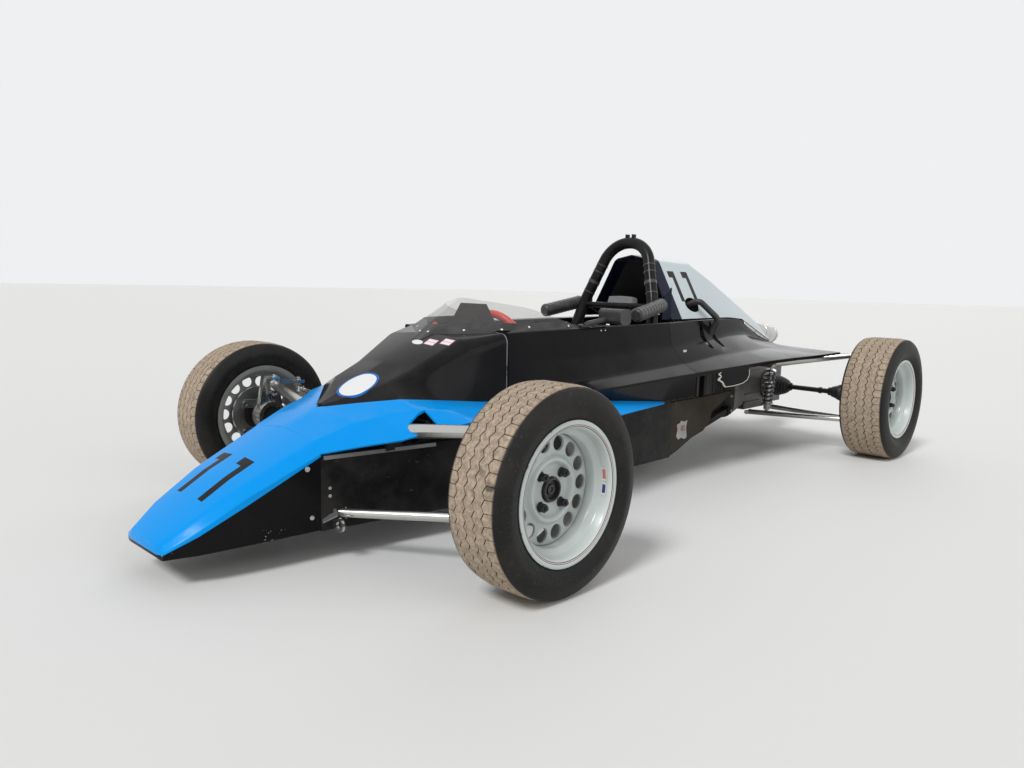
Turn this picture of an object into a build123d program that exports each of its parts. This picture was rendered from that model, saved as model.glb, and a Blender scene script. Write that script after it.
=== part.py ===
from build123d import *
import math
import os

# Single-seat open wheel racing car, millimetres. X runs forward from the front axle, Y to the
# car's left, Z up from the ground. The finished pieces are moved forward by AXLE_TO_MIDDLE, so
# that the origin lies on the ground under the middle of the car.
AXLE_TO_MIDDLE = 1030
WHEELBASE = 2420
FRONT_TRACK = 1480
REAR_TRACK = 1420

# Walls: moulded body panels, riveted side and floor skins, clear screen
PANEL = 6
SKIN = 6
SCREEN = 4

# Wheels: outer radius and width of the tyre, width over the rim flanges
FRONT_TYRE = dict(radius=267, width=178, rim=160)
REAR_TYRE = dict(radius=280, width=205, rim=180)
LIP_RADIUS = 182.5
SEAT_RADIUS = 165
WELL_RADIUS = 146
DISH_DEPTH = 68
VENT_CIRCLE = 117
VENT_RADIUS = 19
VENTS = 14
STUD_CIRCLE = 54
STUDS = 4
HUB_BORE = 31

# Chassis box: floor height, rail heights and half widths at the front bulkhead and the cockpit
FLOOR = 88
NOSE_END = 300
NOSE_HALF = 190
TUB_HALF = 300
TUB_WIDE_X = -400
BULKHEAD_X = -1250
TUBE = 25

# Roll hoop: tube, rake of its plane, height of the arch centreline and foot place
HOOP_TUBE = 24
HOOP_RAKE = 0.286
HOOP_FOOT_X = -1158
HOOP_FOOT_Z = 330
HOOP_TOP_Z = 954

# Running gear heights
FRONT_AXLE_Z = 267
REAR_AXLE_Z = 280
STEER_AXIS_Y = 592


def mirrored(shape):
    """The same piece on the other side of the car."""
    return mirror(shape, about=Plane.XZ)


def pair(shape):
    """Left piece and its mirror image, as separate solids."""
    return Compound([*shape.solids(), *mirrored(shape).solids()])


def bar(start, end, radius):
    """Round bar between two points."""
    axis = Vector(*end) - Vector(*start)
    return Solid.make_cylinder(radius, axis.length, Plane(origin=start, z_dir=axis))


def taper(start, end, start_radius, end_radius):
    """Tapered round bar between two points."""
    axis = Vector(*end) - Vector(*start)
    return Solid.make_cone(start_radius, end_radius, axis.length, Plane(origin=start, z_dir=axis))


def square_bar(start, end, size=TUBE):
    """Square tube of the frame between two points."""
    axis = Vector(*end) - Vector(*start)
    plane = Plane(origin=start, z_dir=axis)
    return extrude(plane * Rectangle(size, size), amount=axis.length)


def bent_bar(points, bends, radius):
    """Round bar along straight runs joined by arcs."""
    path = FilletPolyline(*points, radius=bends)
    start = Plane(origin=path @ 0, z_dir=path % 0)
    return sweep(start * Circle(radius), path=path)


def plate(plane, points, thickness):
    """Flat plate cut to an outline on a plane, its thickness shared about that plane."""
    outline = make_face(Polyline(*points, close=True))
    return extrude(plane * outline, amount=thickness / 2, both=True)


def side_normals(points):
    """Unit normals on the inner side of an outline that runs outward and down."""
    normals = []
    for (y0, z0), (y1, z1) in zip(points, points[1:]):
        length = math.hypot(y1 - y0, z1 - z0)
        normals.append(((z1 - z0) / length, (y0 - y1) / length))
    return normals


def inner_outline(points, wall):
    """The same outline moved inward by the wall."""
    normals = side_normals(points)
    moved = []
    for number, (y, z) in enumerate(points):
        before = normals[max(number - 1, 0)]
        after = normals[min(number, len(normals) - 1)]
        share = wall / (1 + before[0] * after[0] + before[1] * after[1])
        moved.append((y + (before[0] + after[0]) * share, z + (before[1] + after[1]) * share))
    return moved


def panel_section(x, points, bends, wall=PANEL, sweep_back=0):
    """Thin section of a moulded panel. Its end may be swept back as Y grows."""
    inner = inner_outline(points, wall)
    normals = side_normals(points)
    inner_bends = []
    for number, bend in enumerate(bends):
        a, b = normals[number], normals[number + 1]
        convex = a[0] * b[1] - a[1] * b[0] < 0
        inner_bends.append(max(bend - wall, 1) if convex else bend + wall)
    if not any(bends):
        inner_bends = [0] * len(bends)
    loop = [(x + sweep_back * y, y, z) for y, z in points + inner[::-1]]
    radii = [0, *bends, 0, 0, *inner_bends[::-1], 0]
    return Face(Wire(FilletPolyline(*loop, radius=radii, close=True).edges()))


def ruled(sections):
    return loft(sections, ruled=True)


# Nose cone: station, then crown height, shoulder, side top and underside
# x, z_crown, y_shoulder, z_shoulder, y_side, z_side, z_bottom
NOSE_STATIONS = [
    (NOSE_END, 350, 158, 334, NOSE_HALF, 304, 88),
    (500, 250, 136, 238, 166, 213, 84),
    (620, 176, 116, 167, 144, 142, 80),
    (694, 122, 88, 114, 112, 96, 76),
]
NOSE_TIP = 700


def nose_cone():
    def section(row, inset, shift=0):
        x, crown, y_shoulder, z_shoulder, y_side, z_side, bottom = row
        points = [(0, crown), (y_shoulder, z_shoulder), (y_side, z_side), (y_side, bottom)]
        left = [(max(y - inset, 0), z - inset) for y, z in points[:3]]
        left.append((y_side - inset, bottom + inset))
        right = [(-y, z) for y, z in left[::-1] if y > 0]
        loop = [(x + shift, y, z) for y, z in left + right]
        bend = 30 - inset / 2
        radii = [0, bend, 8, 8, 8, 8, bend]
        return Face(Wire(FilletPolyline(*loop, radius=radii, close=True).edges()))

    outside = ruled([section(row, 0) for row in NOSE_STATIONS])
    cap_row = (NOSE_TIP, 112, 66, 107, 84, 98, 82)
    tip = ruled([section(NOSE_STATIONS[-1], 0), section(cap_row, 0)])
    inside = ruled([section(row, PANEL) for row in NOSE_STATIONS[:-1]])
    return outside + tip - inside


# Front fairing, from the nose joint back over the suspension to a point beside the cockpit
# x, y_crease, z_crease, y_shoulder, z_shoulder, y_edge, z_edge
FAIRING_STATIONS = [
    (NOSE_END, 14, 350, 158, 334, NOSE_HALF, 304),
    (195, 14, 397, 185, 374, 247, 321),
    (110, 110, 416, 215, 393, 300, 334),
    (40, 200, 430, 270, 408, 345, 356),
    (-60, 216, 421, 320, 405, 400, 380),
    (-250, 250, 402, 350, 389, 422, 362),
    (-400, 280, 394, 360, 378, 424, 350),
    (-776, 350, 369, 376, 350, 400, 327),
    (-1108, 350, 336, 354, 334, 358, 331),
]
FLANGE = 14
ROCKER_NOTCH = dict(width=58, inner_y=282)


def front_fairing():
    sections = []
    for x, y_crease, z_crease, y_shoulder, z_shoulder, y_edge, z_edge in FAIRING_STATIONS:
        points = [
            (y_crease - FLANGE, z_crease),
            (y_crease, z_crease),
            (y_shoulder, z_shoulder),
            (y_edge, z_edge),
        ]
        sections.append(panel_section(x, points, [0, 0]))
    left = ruled(sections)
    notch_y = ROCKER_NOTCH["inner_y"] + 100
    left -= Pos(rocker_x(notch_y), notch_y, 350) * Box(ROCKER_NOTCH["width"], 200, 200)
    return left + mirrored(left)


# Scuttle, the dark wedge between the fairing halves, up to the screen
# x, y_crease, z_crease, y_shoulder, z_shoulder, z_crown, bend
SCUTTLE_STATIONS = [
    (180, 24, 400, 16, 405, 407, 2),
    (110, 110, 416, 72, 434, 440, 20),
    (40, 200, 430, 128, 468, 476, 40),
    (-60, 216, 421, 160, 508, 524, 60),
    (-216, 244, 404, 214, 590, 607, 60),
    (-340, 262, 396, 260, 612, 625, 30),
]
COWL_OPENING = [(-258, 40), (-350, 205), (-420, 218)]


def scuttle_loft(rows, inset):
    sections = []
    for x, y_crease, z_crease, y_shoulder, z_shoulder, z_crown, bend in rows:
        left = [(0, z_crown - inset), (y_shoulder - inset, z_shoulder - inset)]
        left.append((y_crease - inset, z_crease - (1 if inset else 0)))
        right = [(-y, z) for y, z in left[::-1] if y > 0]
        loop = [(x, y, z) for y, z in left + right]
        bend = max(bend - inset, 1)
        radii = [0, bend, 0, 0, bend]
        sections.append(Face(Wire(FilletPolyline(*loop, radius=radii, close=True).edges())))
    return ruled(sections)


def scuttle():
    shell = scuttle_loft(SCUTTLE_STATIONS, 0) - scuttle_loft(SCUTTLE_STATIONS[1:], PANEL)
    opening = [*COWL_OPENING, *[(x, -y) for x, y in COWL_OPENING[::-1]]]
    cut = extrude(make_face(FilletPolyline(*opening, radius=[60, 60, 0, 0, 60, 60], close=True)), 200)
    return shell - Pos(0, 0, 500) * cut


# Cockpit sides: rim lip, rim edge, waist, flare, chine and tuck under the chine
# x, y_lip, z_lip, y_rim, z_rim, y_waist, z_waist, y_flare, z_flare, y_chine, z_chine, y_tuck, z_tuck
COCKPIT_STATIONS = [
    (-340, 234, 614, 262, 618, 266, 520, 268, 440, 270, 415, 264, 396),
    (-450, 236, 617, 264, 621, 272, 520, 290, 448, 306, 414, 288, 388),
    (-650, 238, 620, 266, 624, 278, 520, 322, 446, 378, 416, 328, 378),
    (-776, 238, 622, 266, 626, 280, 524, 328, 452, 386, 421, 350, 369),
    (-1108, 238, 627, 265, 631, 283, 536, 340, 468, 397, 434, 350, 336),
    (-1256, 236, 628, 264, 632, 280, 540, 342, 474, 402, 440, 399, 350),
]
# Rear deck, from the joint behind the cockpit to the swept trailing edge, same columns
DECK_STATIONS = [
    (-1258, 236, 628, 264, 632, 280, 540, 342, 474, 402, 440, 396, 424),
    (-1500, 214, 632, 240, 636, 262, 556, 346, 490, 432, 453, 426, 438),
    (-1750, 194, 634, 218, 638, 245, 566, 350, 501, 462, 466, 457, 452),
    (-1940, 178, 634, 202, 637, 226, 566, 338, 504, 492, 473, 488, 460),
]
# The last two stations are swept back as Y grows: x at the centreline, then the same columns
DECK_TAIL = [
    (-2200, 172, 546, 196, 549, 212, 528, 330, 503, 532, 481, 529, 470),
    (-2420, 168, 492, 190, 496, 206, 494, 330, 490, 548, 486, 545, 476),
]
TRAILING_SWEEP = 0.22
# Upright oval slots in the side of the deck, x and z of each centre
DECK_SLOTS = [(-1626, 574), (-1532, 564)]
SLOT_HALF_LENGTH = 54
SLOT_HALF_WIDTH = 19
# What is left of the apron under the deck's edge, in (x, z): torn in front, rounded behind
APRON = [
    (-1420, 441),
    (-1414, 405),
    (-1441, 392),
    (-1454, 373),
    (-1506, 374),
    (-1570, 381),
    (-1601, 393),
    (-1615, 413),
    (-1612, 451),
]
APRON_WALL = 5
DECK_FLARE = 0.124


def side_outline(row):
    numbers = row[1:]
    return [(numbers[i], numbers[i + 1]) for i in range(0, len(numbers), 2)]


def cockpit_sides():
    bends = [8, 60, 50, 6]
    left = ruled([panel_section(row[0], side_outline(row), bends) for row in COCKPIT_STATIONS])
    return pair(left)


def rear_deck():
    bends = [8, 60, 60, 4]
    sections = [panel_section(row[0], side_outline(row), bends) for row in DECK_STATIONS]
    tail_bends = [4, 10, 10, 4]
    for row in DECK_TAIL:
        sections.append(panel_section(row[0], side_outline(row), tail_bends, sweep_back=TRAILING_SWEEP))
    left = ruled(sections)
    for x, z in DECK_SLOTS:
        plane = Plane(origin=(x, 250, z), x_dir=(1, 0, 0), z_dir=(0, -1, 0))
        left -= extrude(plane * Ellipse(SLOT_HALF_WIDTH, SLOT_HALF_LENGTH), amount=60, both=True)
    edge_x, edge_y = DECK_STATIONS[1][0], DECK_STATIONS[1][-2]
    edge = Plane(
        origin=(edge_x, edge_y - APRON_WALL / 2, 0),
        x_dir=(1, -DECK_FLARE, 0),
        z_dir=(-DECK_FLARE, -1, 0),
    )
    left += plate(edge, [(x - edge_x, z) for x, z in APRON], APRON_WALL)
    return pair(left)


# Engine cover: base, shoulder and crown at each station
# x, y_base, z_base, y_shoulder, z_shoulder, z_crown, bend
COVER_STATIONS = [
    (-1430, 216, 640, 84, 888, 905, 40),
    (-1683, 213, 642, 76, 884, 900, 40),
    (-1830, 210, 642, 92, 818, 834, 40),
    (-1972, 203, 632, 112, 744, 758, 40),
    (-2285, 198, 520, 120, 606, 622, 40),
]
BAND_FRONT = -1352
PIPE_HOLE = dict(centre=(-1560, 190, 700), length=56, height=34)


def arch_loft(rows, inset, z_drop=0):
    sections = []
    for x, y_base, z_base, y_shoulder, z_shoulder, z_crown, bend in rows:
        left = [(0, z_crown - inset), (y_shoulder - inset * 0.8, z_shoulder - inset)]
        left.append((y_base - inset, z_base - z_drop))
        right = [(-y, z) for y, z in left[::-1] if y > 0]
        loop = [(x, y, z) for y, z in left + right]
        radii = [0, bend - inset, 0, 0, bend - inset]
        sections.append(Face(Wire(FilletPolyline(*loop, radius=radii, close=True).edges())))
    return ruled(sections)


def engine_cover():
    shell = arch_loft(COVER_STATIONS, 0) - arch_loft(COVER_STATIONS, PANEL, 1)
    plane = Plane(origin=PIPE_HOLE["centre"], x_dir=(1, 0, 0), z_dir=(0, 1, 0.3))
    hole = plane * Ellipse(PIPE_HOLE["length"], PIPE_HOLE["height"])
    return shell - extrude(hole, amount=60, both=True)


# Cheek plates beside the foot of the fairing, in (x, z)
CHEEK = [(-1353, 640), (-1353, 770), (-1300, 735), (-1288, 640)]
CHEEK_Y = 206


def hoop_fairing():
    front = (BAND_FRONT, *COVER_STATIONS[0][1:])
    rear = COVER_STATIONS[0]
    band = arch_loft([front, rear], 0) - arch_loft([front, rear], PANEL, 1)
    cheek = plate(Plane(origin=(0, CHEEK_Y, 0), x_dir=(1, 0, 0), z_dir=(0, -1, 0)), CHEEK, PANEL)
    return band + cheek + mirrored(cheek)


# Screen: plan outline at two heights, nose outward, trimmed above by its sloped top edge and
# below by the scuttle and the cockpit rim
SCREEN_LOW_Z = 570
SCREEN_HIGH_Z = 730
SCREEN_LOW = [(-154, 22), (-291, 270), (-786, 272)]
SCREEN_HIGH = [(-397, 24), (-540, 208), (-900, 226)]
SCREEN_BENDS = [50, 130, 0, 0, 130, 50]
SCREEN_EDGE = [(-366, 722), (-450, 701), (-563, 667), (-700, 629)]
RIM_LINE = [(-240, 570), (-290, 592), (-338, 619), (-1000, 630)]


def screen_loft(inset):
    sections = []
    for points, z in ((SCREEN_LOW, SCREEN_LOW_Z), (SCREEN_HIGH, SCREEN_HIGH_Z)):
        half = [(x - inset, y - inset * 0.9) for x, y in points]
        loop = [(x, y, z) for x, y in half] + [(x, -y, z) for x, y in half[::-1]]
        radii = [max(bend - inset, 0) for bend in SCREEN_BENDS]
        sections.append(Face(Wire(FilletPolyline(*loop, radius=radii, close=True).edges())))
    return ruled(sections)


def screen():
    shell = screen_loft(0) - screen_loft(SCREEN)
    above = SCREEN_EDGE + [(-700, 560), (-1000, 560), (-1000, 760), (-366, 760)]
    below = RIM_LINE + [(-1000, 500), (-240, 500)]
    shell = shell - plate(Plane.XZ, above, 800) - plate(Plane.XZ, below, 800)
    return shell - scuttle_loft(SCUTTLE_STATIONS, 0)


# Chassis side skins: x, y, z_top
SIDE_SKINS = [
    [(NOSE_END, NOSE_HALF, 298), (-150, 257, 298)],
    [(-150, 257, 372), (TUB_WIDE_X, TUB_HALF, 376)],
    [(TUB_WIDE_X, TUB_HALF, 376), (-1108, TUB_HALF, 329), (BULKHEAD_X, TUB_HALF, 329)],
]


def floor_pan():
    corners = {(x, y - SKIN - 2) for rows in SIDE_SKINS for x, y, z in rows}
    outline = sorted(corners, reverse=True)
    loop = outline + [(x, -y) for x, y in outline[::-1]]
    return Pos(0, 0, FLOOR) * extrude(make_face(Polyline(*loop, close=True)), SKIN)


def side_skins():
    left = None
    for rows in SIDE_SKINS:
        sections = [panel_section(x, [(y, z_top), (y, FLOOR)], [], SKIN) for x, y, z_top in rows]
        piece = ruled(sections)
        left = piece if left is None else left + piece
    return pair(left)


# Lower panels beside the engine: x, y, z_top. A flange stands out along the top, the rear end is
# cut to a slanted outline in (x, z), and a stay runs in to the frame.
REAR_SKINS = [
    (BULKHEAD_X, 300, 316),
    (-1450, 310, 320),
    (-1712, 325, 331),
]
REAR_FLANGE = 12
FLANGE_WALL = 4
REAR_SKIN_LINE = [
    (-1712, 340),
    (-1632, 287),
    (-1546, 250),
    (-1532, 210),
    (-1486, 172),
    (-1400, 150),
    (-1300, 108),
    (BULKHEAD_X, 92),
]
SKIN_STAY = [(-1450, 218, 233), (-1450, 307, 233)]


def rear_skins():
    sheet = ruled([panel_section(x, [(y, top), (y, FLOOR)], [], SKIN) for x, y, top in REAR_SKINS])
    outline = [*REAR_SKIN_LINE, (BULKHEAD_X, 340)]
    sheet = sheet & plate(Plane.XZ, outline, 800)
    rows = [(x, [(y - SKIN, top), (y + REAR_FLANGE, top)]) for x, y, top in REAR_SKINS]
    flange = ruled([panel_section(x, points, [], FLANGE_WALL) for x, points in rows])
    return pair(sheet + flange + bar(*SKIN_STAY, 8))


# Frame joints on the left side, at the centres of the tubes
FRAME_JOINTS = dict(
    nose_low=(285, 168, 108),
    nose_top=(285, 168, 284),
    axle_low=(0, 213, 108),
    axle_top=(0, 213, 284),
    dash_low=(-400, 262, 108),
    dash_top=(-400, 262, 340),
    dash_hoop=(-400, 215, 530),
    seat_low=(-1200, 262, 108),
    seat_top=(-1200, 262, 316),
    engine_low=(-1700, 175, 150),
    engine_top=(-1700, 175, 420),
    box_low=(-1966, 152, 190),
    box_top=(-1966, 152, 425),
)
SIDE_TUBES = [
    ("nose_low", "nose_top"),
    ("nose_low", "axle_low"),
    ("nose_top", "axle_top"),
    ("nose_top", "axle_low"),
    ("axle_low", "axle_top"),
    ("axle_low", "dash_low"),
    ("axle_top", "dash_top"),
    ("dash_low", "dash_top"),
    ("dash_top", "dash_hoop"),
    ("dash_low", "seat_low"),
    ("dash_top", "seat_top"),
    ("seat_low", "seat_top"),
    ("seat_low", "engine_low"),
    ("seat_top", "engine_top"),
    ("seat_top", "engine_low"),
    ("engine_low", "engine_top"),
    ("engine_low", "box_low"),
    ("engine_top", "box_top"),
]
CROSS_TUBES = [
    "nose_low",
    "nose_top",
    "axle_low",
    "axle_top",
    "dash_low",
    "dash_hoop",
    "seat_low",
    "seat_top",
]
BELL_FRONT_X = -1982


def frame_sides():
    """Left and right side frames, with the rocker pedestals and the pads on the bellhousing."""
    side = None
    for start, end in SIDE_TUBES:
        tube = square_bar(FRAME_JOINTS[start], FRAME_JOINTS[end])
        side = tube if side is None else side + tube
    for joint in ("box_low", "box_top"):
        x, y, z = FRAME_JOINTS[joint]
        side += Pos((BELL_FRONT_X + x + 10) / 2, y, z) * Box(x + 10 - BELL_FRONT_X, 36, 36)
    side -= Pos(BELL_FRONT_X - 50, 160, 300) * Box(100, 200, 500)
    x, y, z = ROCKER_PIVOT
    side += Pos(x, y, (z + 290) / 2) * Box(56, 22, z - 290)
    return pair(side)


def frame_cross():
    tubes = []
    for joint in CROSS_TUBES:
        x, y, z = FRAME_JOINTS[joint]
        tubes.append(square_bar((x, -y + TUBE / 2, z), (x, y - TUBE / 2, z)))
    return Compound([solid for tube in tubes for solid in tube.solids()])


def hoop_plane_x(z):
    return HOOP_FOOT_X - HOOP_RAKE * (z - HOOP_FOOT_Z)


def roll_hoop():
    half = [(256, 340), (172, 715), (88, HOOP_TOP_Z)]
    points = [(hoop_plane_x(z), y, z) for y, z in half]
    points += [(x, -y, z) for x, y, z in points[::-1]]
    hoop = bent_bar(points, [160, 118, 118, 160], HOOP_TUBE)
    stay = bar((hoop_plane_x(700) - 4, 172, 700), (-1958, 160, 440), 14)
    foot = Pos(hoop_plane_x(338), 256, 335) * Box(74, 48, 10)
    cross = bar((hoop_plane_x(690), -176, 690), (hoop_plane_x(690), 176, 690), 12)
    lug = Pos(hoop_plane_x(HOOP_TOP_Z) - 4, 0, HOOP_TOP_Z + 24)
    lugs = [lug * Pos(0, offset, 0) * Box(24, 6, 24) for offset in (-16, 16)]
    return hoop + cross + stay + mirrored(stay) + foot + mirrored(foot) + lugs


def headrest():
    """Pad on the rear face of the hoop's cross tube."""
    face = Plane(origin=(-1294, 0, 680), x_dir=(0, 1, 0), z_dir=(1, 0, HOOP_RAKE))
    return face * Box(140, 100, 46)


def hoop_pads():
    left = bent_bar([(-1280, 212, 700), (-1190, 226, 682), (-1065, 236, 660)], [60], 28)
    return pair(left)


# Seat shell in side view, from the front edge under the knees to the top of the back
SEAT_LINE = [(-560, 140), (-700, 96), (-980, 96), (-1186, 420), (-1226, 600)]
SEAT_HALF = 168
SEAT_WALL = 8


def seat():
    inside = [(x + SEAT_WALL, z + SEAT_WALL) for x, z in SEAT_LINE[::-1]]
    shell = plate(Plane.XZ, SEAT_LINE + inside, 2 * SEAT_HALF)
    edge = [(-600, 165), (-760, 190), (-960, 250), (-1120, 470), (-1190, 500)]
    cheek = plate(Plane.XZ, SEAT_LINE[:-1] + edge[::-1], SEAT_WALL)
    offset = SEAT_HALF - SEAT_WALL / 2
    return shell + Pos(0, offset, 0) * cheek + Pos(0, -offset, 0) * cheek


def firewall():
    half = [(250, 96), (250, 322), (226, 560), (196, 600)]
    points = half + [(-y, z) for y, z in half[::-1]]
    return plate(Plane(origin=(-1262, 0, 0), x_dir=(0, 1, 0), z_dir=(1, 0, 0)), points, 4)


DASH_X = -432
DIALS = [(0, 626, 40), (-98, 590, 28), (98, 590, 28)]


def dashboard():
    half = [(262, 514), (262, 600), (120, 624), (62, 700)]
    points = half + [(-y, z) for y, z in half[::-1]]
    panel = plate(Plane(origin=(DASH_X, 0, 0), x_dir=(0, 1, 0), z_dir=(1, 0, 0)), points, 6)
    for y, z, radius in DIALS:
        panel += Pos(DASH_X + 10, y, z) * Rot(0, 90, 0) * Cylinder(radius, 36)
    return panel


# Steering: rack across the car, column line from its pinion up to the wheel
RACK_X = -95
RACK_Z = 326
COLUMN_LOW = Vector(-70, 0, 326)
WHEEL_CENTRE = Vector(-570, 0, 552)
COLUMN_AXIS = (WHEEL_CENTRE - COLUMN_LOW).normalized()
STEER_RING = 122
STEER_GRIP = 14
COLUMN_RADIUS = 11


def steering_wheel():
    plane = Plane(origin=WHEEL_CENTRE, x_dir=(0, 1, 0), z_dir=COLUMN_AXIS)
    wheel = plane * Torus(STEER_RING, STEER_GRIP) + plane * Cylinder(38, 14)
    for angle in (0, 90, 180):
        spoke = Pos(STEER_RING / 2 + 10, 0, 0) * Box(STEER_RING - 10, 26, 5)
        wheel += plane * Rot(0, 0, angle) * spoke
    return wheel


def steering_column():
    return bar(COLUMN_LOW + COLUMN_AXIS * 64, WHEEL_CENTRE - COLUMN_AXIS * 7, COLUMN_RADIUS)


def column_clamp():
    """Bearing block under the dash tube, with a running bore for the column."""
    centre = COLUMN_LOW + COLUMN_AXIS * 362
    plane = Plane(origin=centre, x_dir=(0, 1, 0), z_dir=COLUMN_AXIS)
    block = plane * Box(48, 40, 26)
    hanger = Pos(-400, 0, (centre.Z + 518) / 2) * Box(18, 48, 518 - centre.Z)
    bore = plane * Cylinder(COLUMN_RADIUS + 1, 160)
    return block + hanger - bore


def rack_housing():
    tube = bar((RACK_X, -165, RACK_Z), (RACK_X, 165, RACK_Z), 20)
    bore = bar((RACK_X, -180, RACK_Z), (RACK_X, 180, RACK_Z), 11)
    x, y, z = FRAME_JOINTS["axle_top"]
    top = z + TUBE / 2
    foot = Box(12 - RACK_X, 30, RACK_Z - top)
    feet = [Pos((RACK_X + 12) / 2, side, (top + RACK_Z) / 2) * foot for side in (-130, 130)]
    return tube + feet - bore


TIE_ROD_END = (-105, 590, 364)


def tie_rods():
    rack = bar((RACK_X, -228, RACK_Z), (RACK_X, 228, RACK_Z), 10)
    rod = bar((RACK_X, 224, RACK_Z), TIE_ROD_END, 9)
    x, y, z = TIE_ROD_END
    eye = Pos(x, y, z) * Cylinder(14, 20)
    return rack + rod + eye + mirrored(rod) + mirrored(eye)


PEDAL_X = 150


def pedals():
    x, y, z = FRAME_JOINTS["axle_top"]
    pivot = bar((PEDAL_X, -174, z), (PEDAL_X, 174, z), 8)
    for offset in (-90, 0, 90):
        pivot += Pos(PEDAL_X, offset, 210) * Box(10, 22, 150)
        pivot += Pos(PEDAL_X - 8, offset, 148) * Box(8, 60, 64)
    return pivot


def gear_lever():
    base = Pos(-760, -234, 330) * Box(90, 30, 10)
    lever = bar((-760, -228, 330), (-735, -214, 470), 7)
    knob = Pos(-733, -213, 480) * Sphere(19)
    return lever + knob + base


MIRROR = (-838, 306, 663)
MIRROR_FOOT = (-730, 252, 629)


def mirror_left():
    x, y, z = MIRROR
    housing = Pos(x, y, z) * Box(62, 98, 54)
    housing = fillet(housing.edges().filter_by(Axis.Y), 14)
    glass = Pos(x - 30, y, z) * Box(6, 84, 42)
    foot_x, foot_y, foot_z = MIRROR_FOOT
    stalk = bar((foot_x, foot_y + 2, foot_z + 4), (x + 20, y - 20, z - 8), 8)
    foot = Pos(*MIRROR_FOOT) * Box(50, 24, 8)
    return housing - glass + stalk + foot


# Front suspension, left side. The upright turns about the line through both eyes.
LOWER_EYE_Z = 150
UPPER_EYE_Z = 385
LOWER_FRONT = (246, 184, 129)
LOWER_REAR = (-180, 236, 130)
ROCKER_PIVOT = (78, 214, 344)
EYE_BORE = 8
PIN_RADIUS = 7


def rocker_x(y):
    """Centre of the rocker arm, along the car, where it crosses the distance y from the middle."""
    pivot_x, pivot_y, pivot_z = ROCKER_PIVOT
    return pivot_x * (STEER_AXIS_Y - y) / (STEER_AXIS_Y - pivot_y)


def eye(z, height):
    return Pos(0, STEER_AXIS_Y, z) * (Cylinder(19, height) - Cylinder(EYE_BORE, height * 2))


def front_lower_wishbones():
    end_y = STEER_AXIS_Y - 14
    front = bar(LOWER_FRONT, (5, end_y, LOWER_EYE_Z), 13)
    rear = bar(LOWER_REAR, (-5, end_y, LOWER_EYE_Z), 11)
    bore = Pos(0, STEER_AXIS_Y, LOWER_EYE_Z) * Cylinder(EYE_BORE, 80)
    return pair(front + rear + eye(LOWER_EYE_Z, 26) - bore)


def front_rockers():
    """Tapered top arms that work the inboard dampers."""
    end_y = STEER_AXIS_Y - 12
    arm = taper(ROCKER_PIVOT, (rocker_x(end_y), end_y, UPPER_EYE_Z), 23, 16)
    pivot_x, pivot_y, pivot_z = ROCKER_PIVOT
    tube = bar((pivot_x - 24, pivot_y, pivot_z), (pivot_x + 24, pivot_y, pivot_z), 25)
    inner = taper(ROCKER_PIVOT, (pivot_x + 4, 140, 330), 20, 14)
    bore = Pos(0, STEER_AXIS_Y, UPPER_EYE_Z) * Cylinder(EYE_BORE, 80)
    return pair(arm + tube + inner + eye(UPPER_EYE_Z, 34) - bore)


def front_dampers():
    spring = bar((86, 138, 150), (82, 139, 300), 27)
    rod = bar((88, 138, 112), (82, 139, 334), 8)
    return pair(spring + rod)


def knuckle():
    """Left upright: post, axle boss, forks round both eyes, caliper lugs and steering arm."""
    post = plate(
        Plane(origin=(0, 628, 0), x_dir=(1, 0, 0), z_dir=(0, -1, 0)),
        [(-26, 122), (26, 122), (44, 200), (44, 314), (26, 416), (-26, 416), (-44, 314), (-44, 200)],
        24,
    )
    boss = bar((0, 604, FRONT_AXLE_Z), (0, 655, FRONT_AXLE_Z), 54)
    bore = bar((0, 590, FRONT_AXLE_Z), (0, 700, FRONT_AXLE_Z), 40)
    lugs = [Pos(68, 632, z) * Box(76, 10, 30) for z in (216, 318)]
    whole = post + boss + lugs
    for z, height in ((LOWER_EYE_Z, 26), (UPPER_EYE_Z, 34)):
        for side in (-1, 1):
            leaf_z = z + side * (height / 2 + 8)
            whole += Pos(0, 604, leaf_z) * Box(34, 50, 8)
        whole += Pos(0, STEER_AXIS_Y, z) * Cylinder(PIN_RADIUS, height + 24)
    arm_x, arm_y, arm_z = TIE_ROD_END
    arm = square_bar((-20, 628, arm_z + 26), (arm_x - 8, arm_y + 30, arm_z + 26), 16)
    tip = Pos(arm_x, arm_y + 14, arm_z + 26) * Box(26, 48, 12)
    return whole + arm + tip - bore


def wheel_profile(half):
    """Rim barrel and both flanges, as a closed outline of (across, radius)."""
    wall = 4
    return [
        (half, LIP_RADIUS),
        (half, SEAT_RADIUS - wall),
        (half - 28, SEAT_RADIUS - wall - 2),
        (half - 44, WELL_RADIUS - wall),
        (-half + 40, WELL_RADIUS - wall),
        (-half + 26, SEAT_RADIUS - wall - 2),
        (-half, SEAT_RADIUS - wall),
        (-half, LIP_RADIUS),
        (-half + 5, LIP_RADIUS),
        (-half + 5, SEAT_RADIUS),
        (-half + 28, SEAT_RADIUS - 2),
        (-half + 42, WELL_RADIUS),
        (half - 46, WELL_RADIUS),
        (half - 30, SEAT_RADIUS - 2),
        (half - 5, SEAT_RADIUS),
        (half - 5, LIP_RADIUS),
    ]


def spun(points):
    """Solid of revolution about the wheel's axle, from an outline of (across, radius)."""
    outline = make_face(Polyline(*[(0, across, radius) for across, radius in points], close=True))
    return revolve(outline, axis=Axis.Y)


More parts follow.
